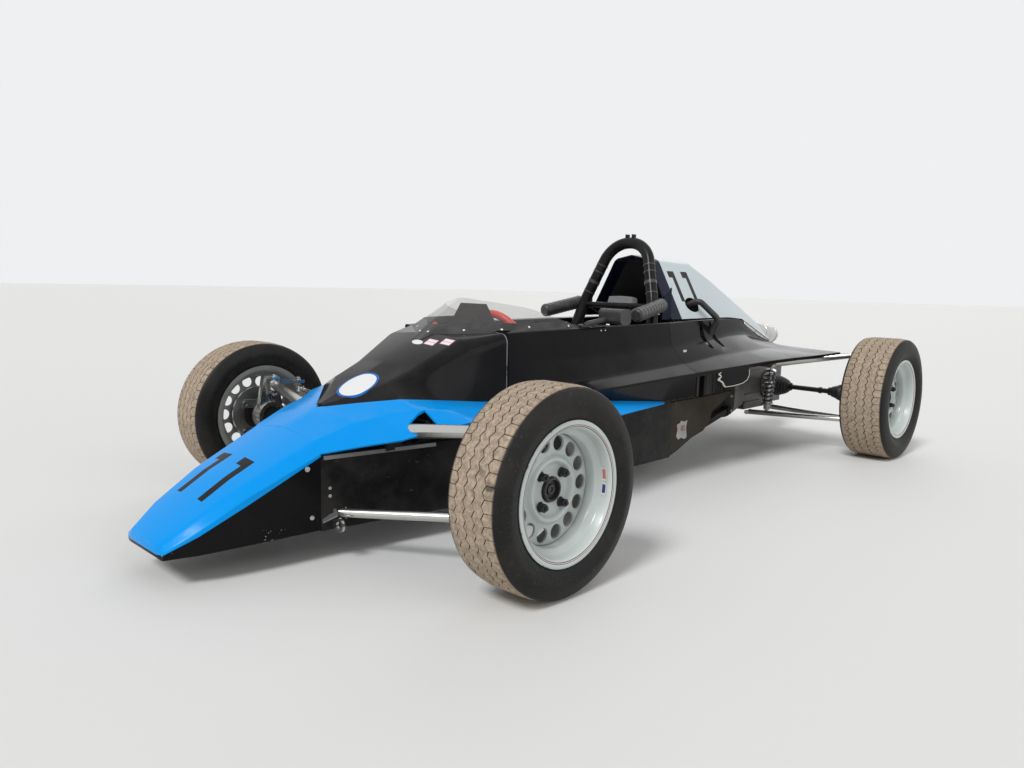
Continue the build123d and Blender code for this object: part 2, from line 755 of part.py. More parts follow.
def rim(size):
    half = size["rim"] / 2
    disc_y = half - DISH_DEPTH
    barrel = spun(wheel_profile(half))
    disc = spun([
        (disc_y - 5, HUB_BORE),
        (disc_y, HUB_BORE),
        (disc_y, 64),
        (disc_y + 12, 72),
        (disc_y + 12, 82),
        (disc_y, 92),
        (disc_y, WELL_RADIUS - 6),
        (disc_y - 14, WELL_RADIUS - 3),
        (disc_y - 20, WELL_RADIUS - 3),
        (disc_y - 5, WELL_RADIUS - 12),
        (disc_y - 5, 92),
        (disc_y + 7, 82),
        (disc_y + 7, 72),
        (disc_y - 5, 64),
    ])
    for number in range(VENTS):
        turn = Rot(0, 360 / VENTS * number, 0)
        disc -= turn * Pos(0, disc_y, VENT_CIRCLE) * Rot(90, 0, 0) * Cylinder(VENT_RADIUS, 60)
    for x, z in stud_places():
        disc -= Pos(x, disc_y, z) * Rot(90, 0, 0) * Cylinder(STUD_RADIUS, 60)
    return barrel + disc


STUD_RADIUS = 9


def stud_places():
    angles = [math.radians(45 + 360 / STUDS * number) for number in range(STUDS)]
    return [(STUD_CIRCLE * math.sin(angle), STUD_CIRCLE * math.cos(angle)) for angle in angles]


def tyre(size):
    """Hollow tyre: bead seats, bulged side walls, slightly crowned tread and inner liner."""
    radius = size["radius"]
    seat = size["rim"] / 2 - 5
    half = size["width"] / 2
    outside = [
        (seat - 22, SEAT_RADIUS - 1.5),
        (seat, SEAT_RADIUS),
        (seat, LIP_RADIUS + 1),
        (half - 2, 203),
        (half, 226),
        (half - 5, radius - 22),
        (half - 15, radius - 5),
        (half - 50, radius),
    ]
    inside = [(half - 48, radius - 24), (half - 18, radius - 30), (half - 16, 220)]
    right = [(-across, around) for across, around in outside[::-1]]
    liner = [(-across, around) for across, around in inside[::-1]]
    return spun(outside + right + liner + inside)


def hub(size, inboard):
    """Hub flange with its studs, brake disc and the stub that runs in the upright."""
    disc_y = size["rim"] / 2 - DISH_DEPTH - 5
    whole = bar((0, disc_y - 12, 0), (0, disc_y, 0), 68)
    whole += bar((0, disc_y - 12, 0), (0, disc_y + 22, 0), HUB_BORE)
    whole += bar((0, inboard, 0), (0, disc_y - 10, 0), 36)
    whole += bar((0, disc_y - 34, 0), (0, disc_y - 24, 0), 100)
    whole += bar((0, disc_y - 30, 0), (0, disc_y - 10, 0), 60)
    for x, z in stud_places():
        whole += bar((x, disc_y - 5, z), (x, disc_y + 22, z), STUD_RADIUS)
    return whole


WHEELS = dict(
    front_left=(0, FRONT_TRACK / 2, FRONT_AXLE_Z, FRONT_TYRE),
    front_right=(0, -FRONT_TRACK / 2, FRONT_AXLE_Z, FRONT_TYRE),
    rear_left=(-WHEELBASE, REAR_TRACK / 2, REAR_AXLE_Z, REAR_TYRE),
    rear_right=(-WHEELBASE, -REAR_TRACK / 2, REAR_AXLE_Z, REAR_TYRE),
)
STUB_INBOARD = dict(front=-113, rear=-103)


def at_corner(shape, corner):
    """Places a left-hand wheel piece at its corner, mirrored on the right."""
    x, y, z, size = WHEELS[corner]
    piece = shape if y > 0 else mirrored(shape)
    return Pos(x, y, z) * piece


# Rear suspension, left side
REAR_POST_Y = 588


def rear_uprights():
    post = plate(
        Plane(origin=(-WHEELBASE, REAR_POST_Y, 0), x_dir=(1, 0, 0), z_dir=(0, -1, 0)),
        [(-60, 140), (60, 140), (48, 250), (40, 320), (24, 488), (-40, 488), (-48, 320), (-56, 250)],
        22,
    )
    boss = bar((-WHEELBASE, 566, REAR_AXLE_Z), (-WHEELBASE, 612, REAR_AXLE_Z), 56)
    bore = bar((-WHEELBASE, 540, REAR_AXLE_Z), (-WHEELBASE, 640, REAR_AXLE_Z), 40)
    return pair(post + boss - bore)


def rear_top_arms():
    arm = taper((-2268, 230, 414), (-2436, 578, 470), 25, 14)
    pivot = bar((-2238, 224, 414), (-2298, 238, 414), 26)
    return pair(arm + pivot)


def rear_lower_wishbones():
    front = bar((-2290, 104, 145), (-2396, 578, 156), 13)
    rear = bar((-2520, 104, 150), (-2444, 578, 156), 13)
    return pair(front + rear)


def rear_dampers():
    spring = bar((-2318, 190, 200), (-2280, 216, 370), 27)
    rod = bar((-2330, 182, 152), (-2272, 222, 408), 8)
    return pair(spring + rod)


SHAFT_INNER = Vector(-2480, 150, 274)
SHAFT_OUTER = Vector(-2419, 600, 279.3)
SHAFT_AXIS = (SHAFT_OUTER - SHAFT_INNER).normalized()


def driveshaft():
    """Left half shaft with the rubber boots of its two joints."""
    shaft = bar(SHAFT_INNER, SHAFT_OUTER, 13)
    inner = [(0, 50), (30, 50), (44, 40), (52, 44), (60, 34), (68, 36), (80, 22), (90, 13)]
    outer = [(310, 13), (326, 26), (340, 24), (352, 36), (392, 38)]
    for points in (inner, outer):
        loop = [(0, distance, radius) for distance, radius in points]
        loop += [(0, points[-1][0], 0), (0, points[0][0], 0)]
        boot = revolve(make_face(Polyline(*loop, close=True)), axis=Axis.Y)
        shaft += Plane(origin=SHAFT_INNER, x_dir=(0, 0, 1), z_dir=SHAFT_AXIS) * (Rot(90, 0, 0) * boot)
    return shaft


def engine():
    return Pos((BELL_FRONT_X - 1460) / 2, 0, 370) * Box(-1460 - BELL_FRONT_X, 260, 440)


def gearbox():
    """Bellhousing, transaxle case, tail casing and the two output flanges."""
    sections = []
    for x, half, low, high, bend in ((BELL_FRONT_X, 185, 150, 520, 70), (-2240, 100, 170, 400, 40)):
        corners = [(x, half, low), (x, half, high), (x, -half, high), (x, -half, low)]
        sections.append(Face(Wire(FilletPolyline(*corners, radius=bend, close=True).edges())))
    case = Pos(-2390, 0, 275) * Box(300, 200, 230)
    tail = Pos(-2620, 0, 262) * Box(160, 150, 190)
    flanges = bar((-2481, -143, 274), (-2481, 143, 274), 46)
    beam = Pos(-2268, 0, 402) * Box(56, 440, 24)
    leg = Pos(-2268, 0, 360) * Box(56, 120, 84)
    return ruled(sections) + case + tail + flanges + beam + leg


def exhaust():
    """Four stubs on the right of the engine, the pipe back past it and the can above the tail."""
    can = bar((-2300, 0, 582), (-2690, 0, 524), 47)
    bore = bar((-2660, 0, 528.5), (-2700, 0, 522.5), 36)
    route = [
        (-1530, -196, 464),
        (-1720, -224, 464),
        (-2030, -226, 480),
        (-2180, -110, 560),
        (-2310, 0, 580.5),
    ]
    pipe = bent_bar(route, [300, 200, 120], 23)
    hanger = Pos(-2450, 0, 457) * Box(6, 70, 134)
    whole = can + pipe + hanger
    for x in (-1540, -1600, -1680, -1740):
        whole += bar((x, -130, 464), (x - 20, -205, 464), 17)
    return whole - bore


def fuel_tank():
    return Pos(-1196, 0, 210) * Box(86, 420, 220)


def side_pipe():
    """Hose from the engine out through the cover and in through the slot in the side."""
    route = [
        (-1540, 100, 591),
        (-1540, 104, 680),
        (-1566, 214, 716),
        (-1626, 274, 640),
        (-1626, 216, 520),
    ]
    return bent_bar(route, [26, 24, 24], 13)


def front_tow_eye():
    """Lug with a cross bore on the left front corner of the chassis box."""
    lug = Pos(262, 208, 104) * Box(8, 30, 36) + Pos(262, 222, 104) * Rot(0, 90, 0) * Cylinder(20, 8)
    return lug - Pos(262, 222, 104) * Rot(0, 90, 0) * Cylinder(11, 30)


def rear_tow_eye():
    eye_x = -2734
    stem = Pos((eye_x - 2700) / 2, 0, 300) * Box(-eye_x - 2700, 8, 30)
    ring = Pos(eye_x, 0, 300) * Rot(90, 0, 0) * Cylinder(26, 8)
    return stem + ring - Pos(eye_x, 0, 300) * Rot(90, 0, 0) * Cylinder(16, 30)


NODES = dict(
    frame_sides=frame_sides,
    frame_cross=frame_cross,
    floor_pan=floor_pan,
    side_skins=side_skins,
    rear_skins=rear_skins,
    firewall=firewall,
    nose_cone=nose_cone,
    front_fairing=front_fairing,
    scuttle=scuttle,
    cockpit_sides=cockpit_sides,
    rear_deck=rear_deck,
    engine_cover=engine_cover,
    hoop_fairing=hoop_fairing,
    screen=screen,
    roll_hoop=roll_hoop,
    headrest=headrest,
    hoop_pads=hoop_pads,
    seat=seat,
    dashboard=dashboard,
    steering_wheel=steering_wheel,
    steering_column=steering_column,
    column_clamp=column_clamp,
    rack_housing=rack_housing,
    tie_rods=tie_rods,
    pedals=pedals,
    gear_lever=gear_lever,
    mirror_left=mirror_left,
    front_lower_wishbones=front_lower_wishbones,
    front_rockers=front_rockers,
    front_dampers=front_dampers,
    rear_uprights=rear_uprights,
    rear_top_arms=rear_top_arms,
    rear_lower_wishbones=rear_lower_wishbones,
    rear_dampers=rear_dampers,
    engine=engine,
    gearbox=gearbox,
    exhaust=exhaust,
    fuel_tank=fuel_tank,
    side_pipe=side_pipe,
    front_tow_eye=front_tow_eye,
    rear_tow_eye=rear_tow_eye,
)
HANDED = dict(knuckle=knuckle, driveshaft=driveshaft)

# What is cut to fit round another piece of the same body: piece, then what passes through it
FITTED = [
    ("frame_cross", ["frame_sides"]),
    ("column_clamp", ["frame_cross"]),
    ("front_fairing", ["front_rockers"]),
    ("scuttle", ["front_fairing"]),
    ("cockpit_sides", ["front_fairing", "scuttle"]),
    ("screen", ["cockpit_sides"]),
    ("engine_cover", ["rear_deck"]),
    ("dashboard", ["cockpit_sides", "frame_sides", "frame_cross", "scuttle"]),
    ("side_skins", ["front_lower_wishbones", "frame_sides"]),
    ("rear_skins", ["frame_sides"]),
    ("front_lower_wishbones", ["frame_sides"]),
    ("front_rockers", ["frame_sides"]),
    ("front_dampers", ["front_rockers", "frame_cross", "frame_sides", "floor_pan"]),
    ("firewall", ["frame_sides", "frame_cross", "roll_hoop"]),
    ("fuel_tank", ["seat", "frame_cross", "frame_sides"]),
    ("seat", ["frame_cross"]),
    ("roll_hoop", ["frame_sides"]),
    ("headrest", ["roll_hoop"]),
    ("hoop_pads", ["roll_hoop", "hoop_fairing"]),
    ("pedals", ["frame_sides"]),
    ("mirror_left", ["cockpit_sides"]),
    ("rear_top_arms", ["gearbox", "rear_uprights"]),
    ("rear_lower_wishbones", ["gearbox", "rear_uprights"]),
    ("rear_dampers", ["rear_top_arms", "rear_lower_wishbones", "gearbox"]),
    ("front_tow_eye", ["side_skins"]),
    ("exhaust", ["gearbox", "engine", "frame_sides"]),
]


def build_all():
    pieces = {name: make() for name, make in NODES.items()}
    for name, make in HANDED.items():
        left = make()
        pieces[f"{name}_left"] = left
        pieces[f"{name}_right"] = mirrored(left)
    for corner, (x, y, z, size) in WHEELS.items():
        inboard = STUB_INBOARD[corner.split("_")[0]]
        pieces[f"tyre_{corner}"] = at_corner(tyre(size), corner)
        pieces[f"rim_{corner}"] = at_corner(rim(size), corner)
        pieces[f"hub_{corner}"] = at_corner(hub(size, inboard), corner)
    for name, others in FITTED:
        for other in others:
            pieces[name] = pieces[name] - pieces[other]
    return pieces


os.makedirs("parts", exist_ok=True)
for name, piece in build_all().items():
    export_step(Pos(AXLE_TO_MIDDLE, 0, 0) * piece, f"parts/{name}.step")
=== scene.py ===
# %% [markdown]
# # Looks of an open wheel racing car
# The car is a low single-seater with a blue wedge nose, gloss black body sides, a white engine
# cover and pale steel wheels on dusty treaded tyres. Its tubes, panels and wheels come from the
# frame at their real size and place. This lesson gives every surface its finish, and adds what a
# maker fits last: tread, rivets, bolts, coil springs, tape, seams and painted numbers.

import math

import bmesh
import bpy
from mathutils import Matrix, Vector
from mathutils.bvhtree import BVHTree


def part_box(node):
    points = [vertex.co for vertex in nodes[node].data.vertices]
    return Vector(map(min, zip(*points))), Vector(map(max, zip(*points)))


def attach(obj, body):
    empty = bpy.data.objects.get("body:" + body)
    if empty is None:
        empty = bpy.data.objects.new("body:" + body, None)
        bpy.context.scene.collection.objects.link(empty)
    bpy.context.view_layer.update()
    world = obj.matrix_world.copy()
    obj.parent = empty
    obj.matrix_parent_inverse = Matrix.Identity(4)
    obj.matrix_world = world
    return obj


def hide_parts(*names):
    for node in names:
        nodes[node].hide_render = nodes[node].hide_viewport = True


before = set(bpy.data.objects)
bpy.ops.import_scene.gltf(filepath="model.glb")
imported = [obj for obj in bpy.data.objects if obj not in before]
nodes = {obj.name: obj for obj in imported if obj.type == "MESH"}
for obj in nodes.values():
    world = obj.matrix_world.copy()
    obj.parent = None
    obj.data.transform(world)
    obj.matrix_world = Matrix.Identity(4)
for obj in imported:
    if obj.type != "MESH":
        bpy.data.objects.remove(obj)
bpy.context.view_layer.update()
MM = 0.001
low, high = (Vector(corner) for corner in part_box("tyre_front_left"))
AXLE_X = (low + high).x / 2
# From the car's own millimetres, forward of the front axle, to the left and up, to metres
CAR = Matrix.Translation((AXLE_X, 0, 0)) @ Matrix.Scale(MM, 4)


def link(name, data):
    """New object in the scene."""
    obj = bpy.data.objects.new(name, data)
    bpy.context.scene.collection.objects.link(obj)
    return obj


print("front axle at", round(AXLE_X, 4), "and", len(nodes), "nodes")

# %% [markdown]
# ## Camera
# The photograph was taken standing, with a wide lens, a little more than two metres from the left
# front wheel. The camera stands where a fit to both axles and the wheel faces puts it, so that
# the picture and the photograph can be laid side by side.

# %% Camera
CAMERA_PLACE = (1434.7, 1992.2, 771)
CAMERA_YAW = math.radians(-136.083)
CAMERA_PITCH = math.radians(-7.309)
CAMERA_ROLL = math.radians(1.36)
CAMERA_LENS = 27.51


def make_camera():
    ahead = Vector((
        math.cos(CAMERA_PITCH) * math.cos(CAMERA_YAW),
        math.cos(CAMERA_PITCH) * math.sin(CAMERA_YAW),
        math.sin(CAMERA_PITCH),
    ))
    level = ahead.cross(Vector((0, 0, 1))).normalized()
    upright = level.cross(ahead)
    right = level * math.cos(CAMERA_ROLL) + upright * math.sin(CAMERA_ROLL)
    up = upright * math.cos(CAMERA_ROLL) - level * math.sin(CAMERA_ROLL)
    data = bpy.data.cameras.new("camera")
    data.lens = CAMERA_LENS
    data.sensor_width = 36
    camera = link("camera", data)
    turn = Matrix((right, up, -ahead)).transposed()
    camera.matrix_world = Matrix.Translation(CAR @ Vector(CAMERA_PLACE)) @ turn.to_4x4()
    bpy.context.scene.camera = camera


make_camera()
bpy.context.scene.view_settings.view_transform = "Standard"
print("camera at", CAMERA_PLACE, "millimetres")

# %% [markdown]
# ## Sums on sockets
# A finish is easier to read when its masks are written as sums. The class below wraps a socket,
# and each operator adds the Math node that does the same. Colours and vectors have their own
# nodes, and one method makes any node from its type, its settings and its inputs.

# %% Expression class and finish class
def math_node(operation, swapped=False):
    """Method of a Number that adds one Math node, with its inputs swapped where need be."""

    def method(self, *others):
        values = (*others, self) if swapped else (self, *others)
        return self.owner.node("ShaderNodeMath", {"operation": operation}, dict(enumerate(values)))

    return method


class Number:
    """A value socket of one node tree, usable in Python sums."""

    def __init__(self, owner, socket):
        self.owner = owner
        self.socket = socket

    __add__ = __radd__ = math_node("ADD")
    __sub__ = math_node("SUBTRACT")
    __rsub__ = math_node("SUBTRACT", swapped=True)
    __mul__ = __rmul__ = math_node("MULTIPLY")
    __truediv__ = math_node("DIVIDE")
    __pow__ = math_node("POWER")
    __abs__ = math_node("ABSOLUTE")
    __gt__ = math_node("GREATER_THAN")
    __lt__ = math_node("LESS_THAN")
    most = math_node("MAXIMUM")

    def between(self, low, high):
        """1 from low to high, 0 outside."""
        return (self > low) * (self < high)

    def rise(self, low, high):
        """0 below low, 1 above high and a straight ramp between."""
        inputs = {"Value": self, "From Min": low, "From Max": high}
        return self.owner.node("ShaderNodeMapRange", {"clamp": True}, inputs)


class Tree:
    """The nodes of a material or of the world."""

    def __init__(self, tree):
        self.tree = tree

    def node(self, kind, settings, inputs, output=0):
        """Any node: its type, its settings, its inputs by name or number, and the output wanted."""
        made = self.tree.nodes.new(kind)
        for key, value in settings.items():
            setattr(made, key, value)
        for key, value in inputs.items():
            self.connect(made.inputs[key], value)
        return Number(self, made.outputs[output])

    def connect(self, socket, value):
        if isinstance(value, Number):
            self.tree.links.new(value.socket, socket)
        elif hasattr(socket.default_value, "__len__") and len(socket.default_value) == 4:
            socket.default_value = (*value[:3], 1)
        else:
            socket.default_value = value


class Finish(Tree):
    """One material and the nodes that make it."""

    def __init__(self, name, colour, roughness=0.5, **sockets):
        self.material = bpy.data.materials.new(name)
        self.material.use_nodes = True
        super().__init__(self.material.node_tree)
        self.shader = self.tree.nodes["Principled BSDF"]
        self.place = self.node("ShaderNodeTexCoord", {}, {}, "Object")
        to_car = {"Vector": self.place, "Location": (-AXLE_X / MM, 0, 0), "Scale": [1 / MM] * 3}
        car = self.node("ShaderNodeMapping", {}, to_car)
        self.x, self.y, self.z = (self.axis(car, number) for number in range(3))
        self.colour = colour
        self.roughness = roughness
        self.relief = None
        for socket, value in sockets.items():
            self.feed(socket.replace("_", " ").title().replace("Ior", "IOR"), value)

    def axis(self, vector, number):
        return self.node("ShaderNodeSeparateXYZ", {}, {0: vector}, number)

    def feed(self, socket, value):
        self.connect(self.shader.inputs[socket], value)

    def noise(self, scale, detail=3, stretch=(1, 1, 1), roughness=0.5):
        """Cloudy value from 0 to 1. A stretch above 1 packs it closer along that axis."""
        scaled = self.node("ShaderNodeMapping", {}, {"Vector": self.place, "Scale": stretch})
        inputs = {"Vector": scaled, "Scale": scale, "Detail": detail, "Roughness": roughness}
        return self.node("ShaderNodeTexNoise", {}, inputs)

    def cells(self, scale):
        """Distance to the nearest of many scattered points."""
        return self.node("ShaderNodeTexVoronoi", {}, {"Vector": self.place, "Scale": scale})

    def stored(self, name):
        """Number that the mesh keeps at every point."""
        return self.node("ShaderNodeAttribute", {"attribute_name": name}, {}, "Fac")

    def mix(self, mask, low, high):
        """Colour that goes from low to high as the mask goes from 0 to 1."""
        return self.node("ShaderNodeMix", {"data_type": "RGBA"}, {0: mask, 6: low, 7: high}, 2)

    def paint(self, mask, colour):
        """Lays a colour over what is there, where the mask is 1."""
        self.colour = self.mix(mask, self.colour, colour)

    def normal(self, number):
        return self.axis(self.node("ShaderNodeNewGeometry", {}, {}, "Normal"), number)

    def up(self):
        """1 on faces that look up, 0 on those that look sideways or down."""
        return self.normal(2).rise(0.1, 0.9)

    def bump(self, height, strength, distance):
        inputs = {"Height": height, "Strength": strength, "Distance": distance}
        if self.relief:
            inputs["Normal"] = self.relief
        self.relief = self.node("ShaderNodeBump", {}, inputs)

    def done(self):
        self.feed("Base Color", self.colour)
        self.feed("Roughness", self.roughness)
        if self.relief:
            self.feed("Normal", self.relief)
        return self.material


# %% [markdown]
# ## Studio
# The car stands on a plain pale floor under a bright, even sky. A broad lamp from ahead gives the
# nose its highlight and lays the shadow backwards, as in the photograph. Camera, gloss and glass
# rays all see the same pale background.

# %% Floor, world and lamps
FLOOR_COLOUR = (0.72, 0.72, 0.71)
FLOOR_HALF = 60
SKY_LEVEL = 0.42
SKY_SEEN = (0.86, 0.87, 0.88)
LAMPS = [
    # name, where it shines from, strength, angle across in degrees
    ("key", (5.5, 1.2, 6.0), 2.1, 16),
    ("side", (-1.0, 6.0, 3.0), 0.55, 40),
    ("back", (-6.0, -3.0, 4.0), 0.35, 40),
]


def make_sky():
    world = bpy.data.worlds.new("sky")
    bpy.context.scene.world = world
    world.use_nodes = True
    sky = Tree(world.node_tree)
    light = sky.tree.nodes["Background"]
    sky.connect(light.inputs["Color"], (1, 1, 1))
    sky.connect(light.inputs["Strength"], SKY_LEVEL)
    seen = sky.node("ShaderNodeBackground", {}, {"Color": SKY_SEEN})
    camera, gloss, glass = (
        sky.node("ShaderNodeLightPath", {}, {}, f"Is {ray} Ray")
        for ray in ("Camera", "Glossy", "Transmission")
    )
    inputs = {0: camera.most(gloss).most(glass), 1: Number(sky, light.outputs[0]), 2: seen}
    either = sky.node("ShaderNodeMixShader", {}, inputs)
    sky.connect(sky.tree.nodes["World Output"].inputs["Surface"], either)


def make_lamps():
    for name, place, strength, spread in LAMPS:
        data = bpy.data.lights.new(name, "SUN")
        data.energy = strength
        data.angle = math.radians(spread)
        lamp = link(name, data)
        lamp.rotation_mode = "QUATERNION"
        lamp.rotation_quaternion = Vector(place).to_track_quat("Z", "Y")


def make_floor():
    bm = bmesh.new()
    bmesh.ops.create_grid(bm, x_segments=1, y_segments=1, size=FLOOR_HALF)
    mesh = bpy.data.meshes.new("floor")
    bm.to_mesh(mesh)
    bm.free()
    mesh.materials.append(Finish("floor", FLOOR_COLOUR, 0.7).done())
    link("floor", mesh)


make_sky()
make_lamps()
make_floor()
print(len(LAMPS), "lamps over the floor")

# %% [markdown]
# ## Painted bodywork
# The body is glass fibre under thick gloss paint. Paint of this kind is never quite flat: it has
# a faint ripple, fine dust on the faces that look up, small chips and long light scratches. The
# same layers serve blue, black and white, and each panel adds its own borders and numbers.

# %% Paint layers
BLUE = (0.0, 0.285, 0.78)
BLACK = (0.006, 0.006, 0.007)
WHITE = (0.56, 0.63, 0.65)
CHALK = (0.75, 0.76, 0.76)
DUST = (0.33, 0.30, 0.26)
EVEN = (1, 1, 1)


def gloss_paint(name, colour, roughness, dust):
    """Gloss paint with ripple, dust and light scratches. The masks may still be painted on."""
    finish = Finish(name, colour, specular_ior_level=0.06, coat_weight=0.04, coat_roughness=0.05)
    cloud = finish.noise(3.5, 5)
    scratch = finish.noise(30, 2, (0.6, 9, 9)).rise(0.66, 0.72)
    finish.roughness = cloud * 0.14 + scratch * 0.12 + roughness
    finish.bump(finish.noise(55, 1), 0.05, 0.0006)
    finish.bump(finish.noise(5, 1), 0.12, 0.002)
    finish.dust = dust
    return finish


def settle_dust(finish):
    """Dust on top of everything painted so far, thickest on faces that look up."""
    cloud = finish.noise(6, 6, EVEN, 0.65).rise(0.35, 0.8)
    speck = finish.noise(260, 2).rise(0.64, 0.72)
    finish.paint((finish.up() * cloud * 0.6 + cloud * 0.25 + speck * 0.35) * finish.dust, DUST)
    return finish.done()


def plain_paint(name, colour, roughness, dust):
    return settle_dust(gloss_paint(name, colour, roughness, dust))


def digit_one(across, along, height, width, upright=1):
    """Mask of a plain figure 1: a stem, and a short flag on the reader's left of its top."""
    stem = (abs(across) < width / 2) * (abs(along) < height / 2)
    below_top = along * upright - (height / 2 - width * 0.5)
    flag = (abs(below_top) < width * 0.5) * across.between(-width * 1.5, 0)
    return stem.most(flag)


# %% [markdown]
# The nose is blue on top and round its shoulders, and flat black on its sides below a straight
# border that runs down to the tip. Two figures stand on top. They read from ahead of the car.

# %% Nose, fairing and scuttle paint
NOSE_BORDER = [(300, 296), (700, 90)]
NOSE_NUMBER = dict(x=503, places=(-66, 58), height=148, width=27)
NOSE_TOP = 0.3
CHIP = (0.45, 0.50, 0.52)


def nose_paint():
    finish = gloss_paint("nose_paint", BLUE, 0.14, 0.04)
    (x0, z0), (x1, z1) = NOSE_BORDER
    border = (finish.x - x0) * ((z1 - z0) / (x1 - x0)) + z0
    finish.paint((border - finish.z).rise(0, 1), BLACK)
    top = finish.up() > NOSE_TOP
    along = finish.x - NOSE_NUMBER["x"]
    for place in NOSE_NUMBER["places"]:
        digit = digit_one(finish.y - place, along, NOSE_NUMBER["height"], NOSE_NUMBER["width"], -1)
        finish.paint(digit * top, BLACK)
    chip = (finish.cells(90) < 0.16) * (finish.noise(9, 2) > 0.57)
    finish.paint(chip * finish.z.rise(125, 85), CHIP)
    return settle_dust(finish)


ROUNDEL = dict(x=70, y=32, radius=68, ring=8, blue=(0.0, 0.12, 0.45))
LABEL_PINK = (0.60, 0.10, 0.22)
LABELS = [
    # x, y, half width across, half height along, colour of the edge
    (-165, 24, 24, 12, None),
    (-178, 77, 23, 16, LABEL_PINK),
    (-194, 137, 23, 16, LABEL_PINK),
]
SCUTTLE_SLOPE = 1.12
# Behind this x the last three millimetres of the scuttle are painted pale, a painted highlight along its
# rear seam
SCUTTLE_EDGE_X = -336.8
SEAM_HIGHLIGHT = (0.24, 0.25, 0.26)


def scuttle_paint():
    """Black, with a plain white roundel in a blue ring, blank labels and a painted highlight along its
    rear edge.
    """
    finish = gloss_paint("scuttle_paint", BLACK, 0.12, 0.08)
    # A pale, slightly broken line along the rear edge is a painted highlight of the seam
    seam_light = finish.noise(24, 4).rise(0.36, 0.52)
    finish.paint((finish.x < SCUTTLE_EDGE_X) * seam_light, SEAM_HIGHLIGHT)
    along = (finish.x - ROUNDEL["x"]) * SCUTTLE_SLOPE
    away = (along ** 2 + (finish.y - ROUNDEL["y"]) ** 2) ** 0.5
    finish.paint(away < ROUNDEL["radius"], ROUNDEL["blue"])
    finish.paint(away < ROUNDEL["radius"] - ROUNDEL["ring"], CHALK)
    for x, y, half_width, half_height, edge in LABELS:
        across = abs(finish.y - y)
        along = abs(finish.x - x) * SCUTTLE_SLOPE
        if edge:
            finish.paint((across < half_width) * (along < half_height), edge)
            inside = (across < half_width - 2) * (along < half_height - 2) * (along > 1)
        else:
            inside = (across / half_width) ** 2 + (along / half_height) ** 2 < 1
        finish.paint(inside, CHALK)
    return settle_dust(finish)


COVER_NUMBER = dict(places=(-1500, -1612), z=776, height=128, width=27)
COVER_REACH = 200
COVER_INSIDE = (0.06, 0.06, 0.062)


def cover_paint():
    """White with a faint blue cast, road grime and a figure 11 on each side. The inside is dark."""
    finish = gloss_paint("cover_paint", WHITE, 0.16, 0.25)
    outward = finish.normal(1) * finish.y / COVER_REACH + finish.normal(2)
    side = 1 - finish.up().rise(0.55, 0.75)
    height = finish.z - COVER_NUMBER["z"]
    right = (finish.y < 0) * 2 - 1
    for x in COVER_NUMBER["places"]:
        across = (finish.x - x) * right
        digit = digit_one(across, height, COVER_NUMBER["height"], COVER_NUMBER["width"])
        finish.paint(digit * side, BLACK)
    settle_dust(finish)
    finish.paint(outward < 0, COVER_INSIDE)
    return finish.done()


# %% [markdown]
# ## Metals, rubber and cloth
# Everything else on the car is one of a dozen workshop finishes. Each has the marks that the real
# one shows: plated tubes are smooth with brown specks, cast alloy is grainy and oily, sheet has
# long brush marks, rubber is dull with dust in its low places. So they differ only in numbers, and
# one function makes them all.

# %% Workshop finishes
GRIME = (0.10, 0.09, 0.08)


def workshop(name, colour, roughness, layers, cloud=None, grain=None, **sockets):
    """Finish with worn places over its colour.

    Each layer has a noise, the ramp that sharpens it, how much of its colour shows, that colour,
    and what it adds to the roughness. The cloud is a noise and what it adds to the roughness. The
    grain is a noise, or the scale of cells, then its strength and depth as bump.
    """
    finish = Finish(name, colour, roughness, **sockets)
    if cloud:
        noise, rough = cloud
        finish.roughness = finish.noise(*noise) * rough + finish.roughness
    for noise, ramp, amount, shade, rough in layers:
        mask = finish.noise(*noise).rise(*ramp)
        if amount:
            finish.paint(mask * amount, shade)
        if rough:
            finish.roughness = mask * rough + finish.roughness
    if grain:
        pattern, strength, depth = grain
        height = finish.noise(*pattern) if isinstance(pattern, tuple) else finish.cells(pattern)
        finish.bump(height, strength, depth)
    return finish.done()


def satin_black(name, dust, roughness):
    """Painted tube and sheet: satin, dusty, with rubbed places down to grey."""
    cloud = (9, 6, EVEN, 0.6)
    rub = (45, 4, (1, 1, 3))
    return workshop(
        name, (0.008, 0.008, 0.009), roughness,
        [(cloud, (0.4, 0.9), dust, DUST, 0), (rub, (0.66, 0.76), 0.25, (0.20, 0.20, 0.19), 0)],
        (cloud, 0.3), ((160, 2), 0.12, 0.0005), specular_ior_level=0.12,
    )


def plain(name, colour, roughness, metallic=0.0):
    """Small plain parts such as rivets, labels and dial faces, with a little grime."""
    layers = [((40, 4), (0.5, 0.85), 0.3, (0.10, 0.095, 0.09), 0.2)]
    return workshop(name, colour, roughness, layers, metallic=metallic)


PLATED = workshop(
    "plated_steel", (0.56, 0.55, 0.525), 0.12,
    [((14, 5), (0.55, 0.9), 0.4, (0.38, 0.35, 0.30), 0),
     ((120, 3), (0.68, 0.76), 0.6, (0.20, 0.12, 0.07), 0.3)],
    ((14, 5), 0.2), ((300, 1), 0.03, 0.0003), metallic=0.95,
)
CAST = workshop(
    "cast_alloy", (0.17, 0.165, 0.16), 0.62,
    [((7, 6, EVEN, 0.6), (0.38, 0.7), 0.8, (0.035, 0.030, 0.026), -0.25)],
    grain=((420, 2), 0.35, 0.0006), metallic=0.6,
)
IRON = workshop(
    "dark_iron", (0.055, 0.055, 0.058), 0.38,
    [((22, 6, EVEN, 0.65), (0.52, 0.8), 0.6, (0.16, 0.075, 0.035), 0.35)],
    grain=((240, 3), 0.3, 0.0005), metallic=0.6,
)
BRUSH = (40, 3, (0.5, 12, 12))
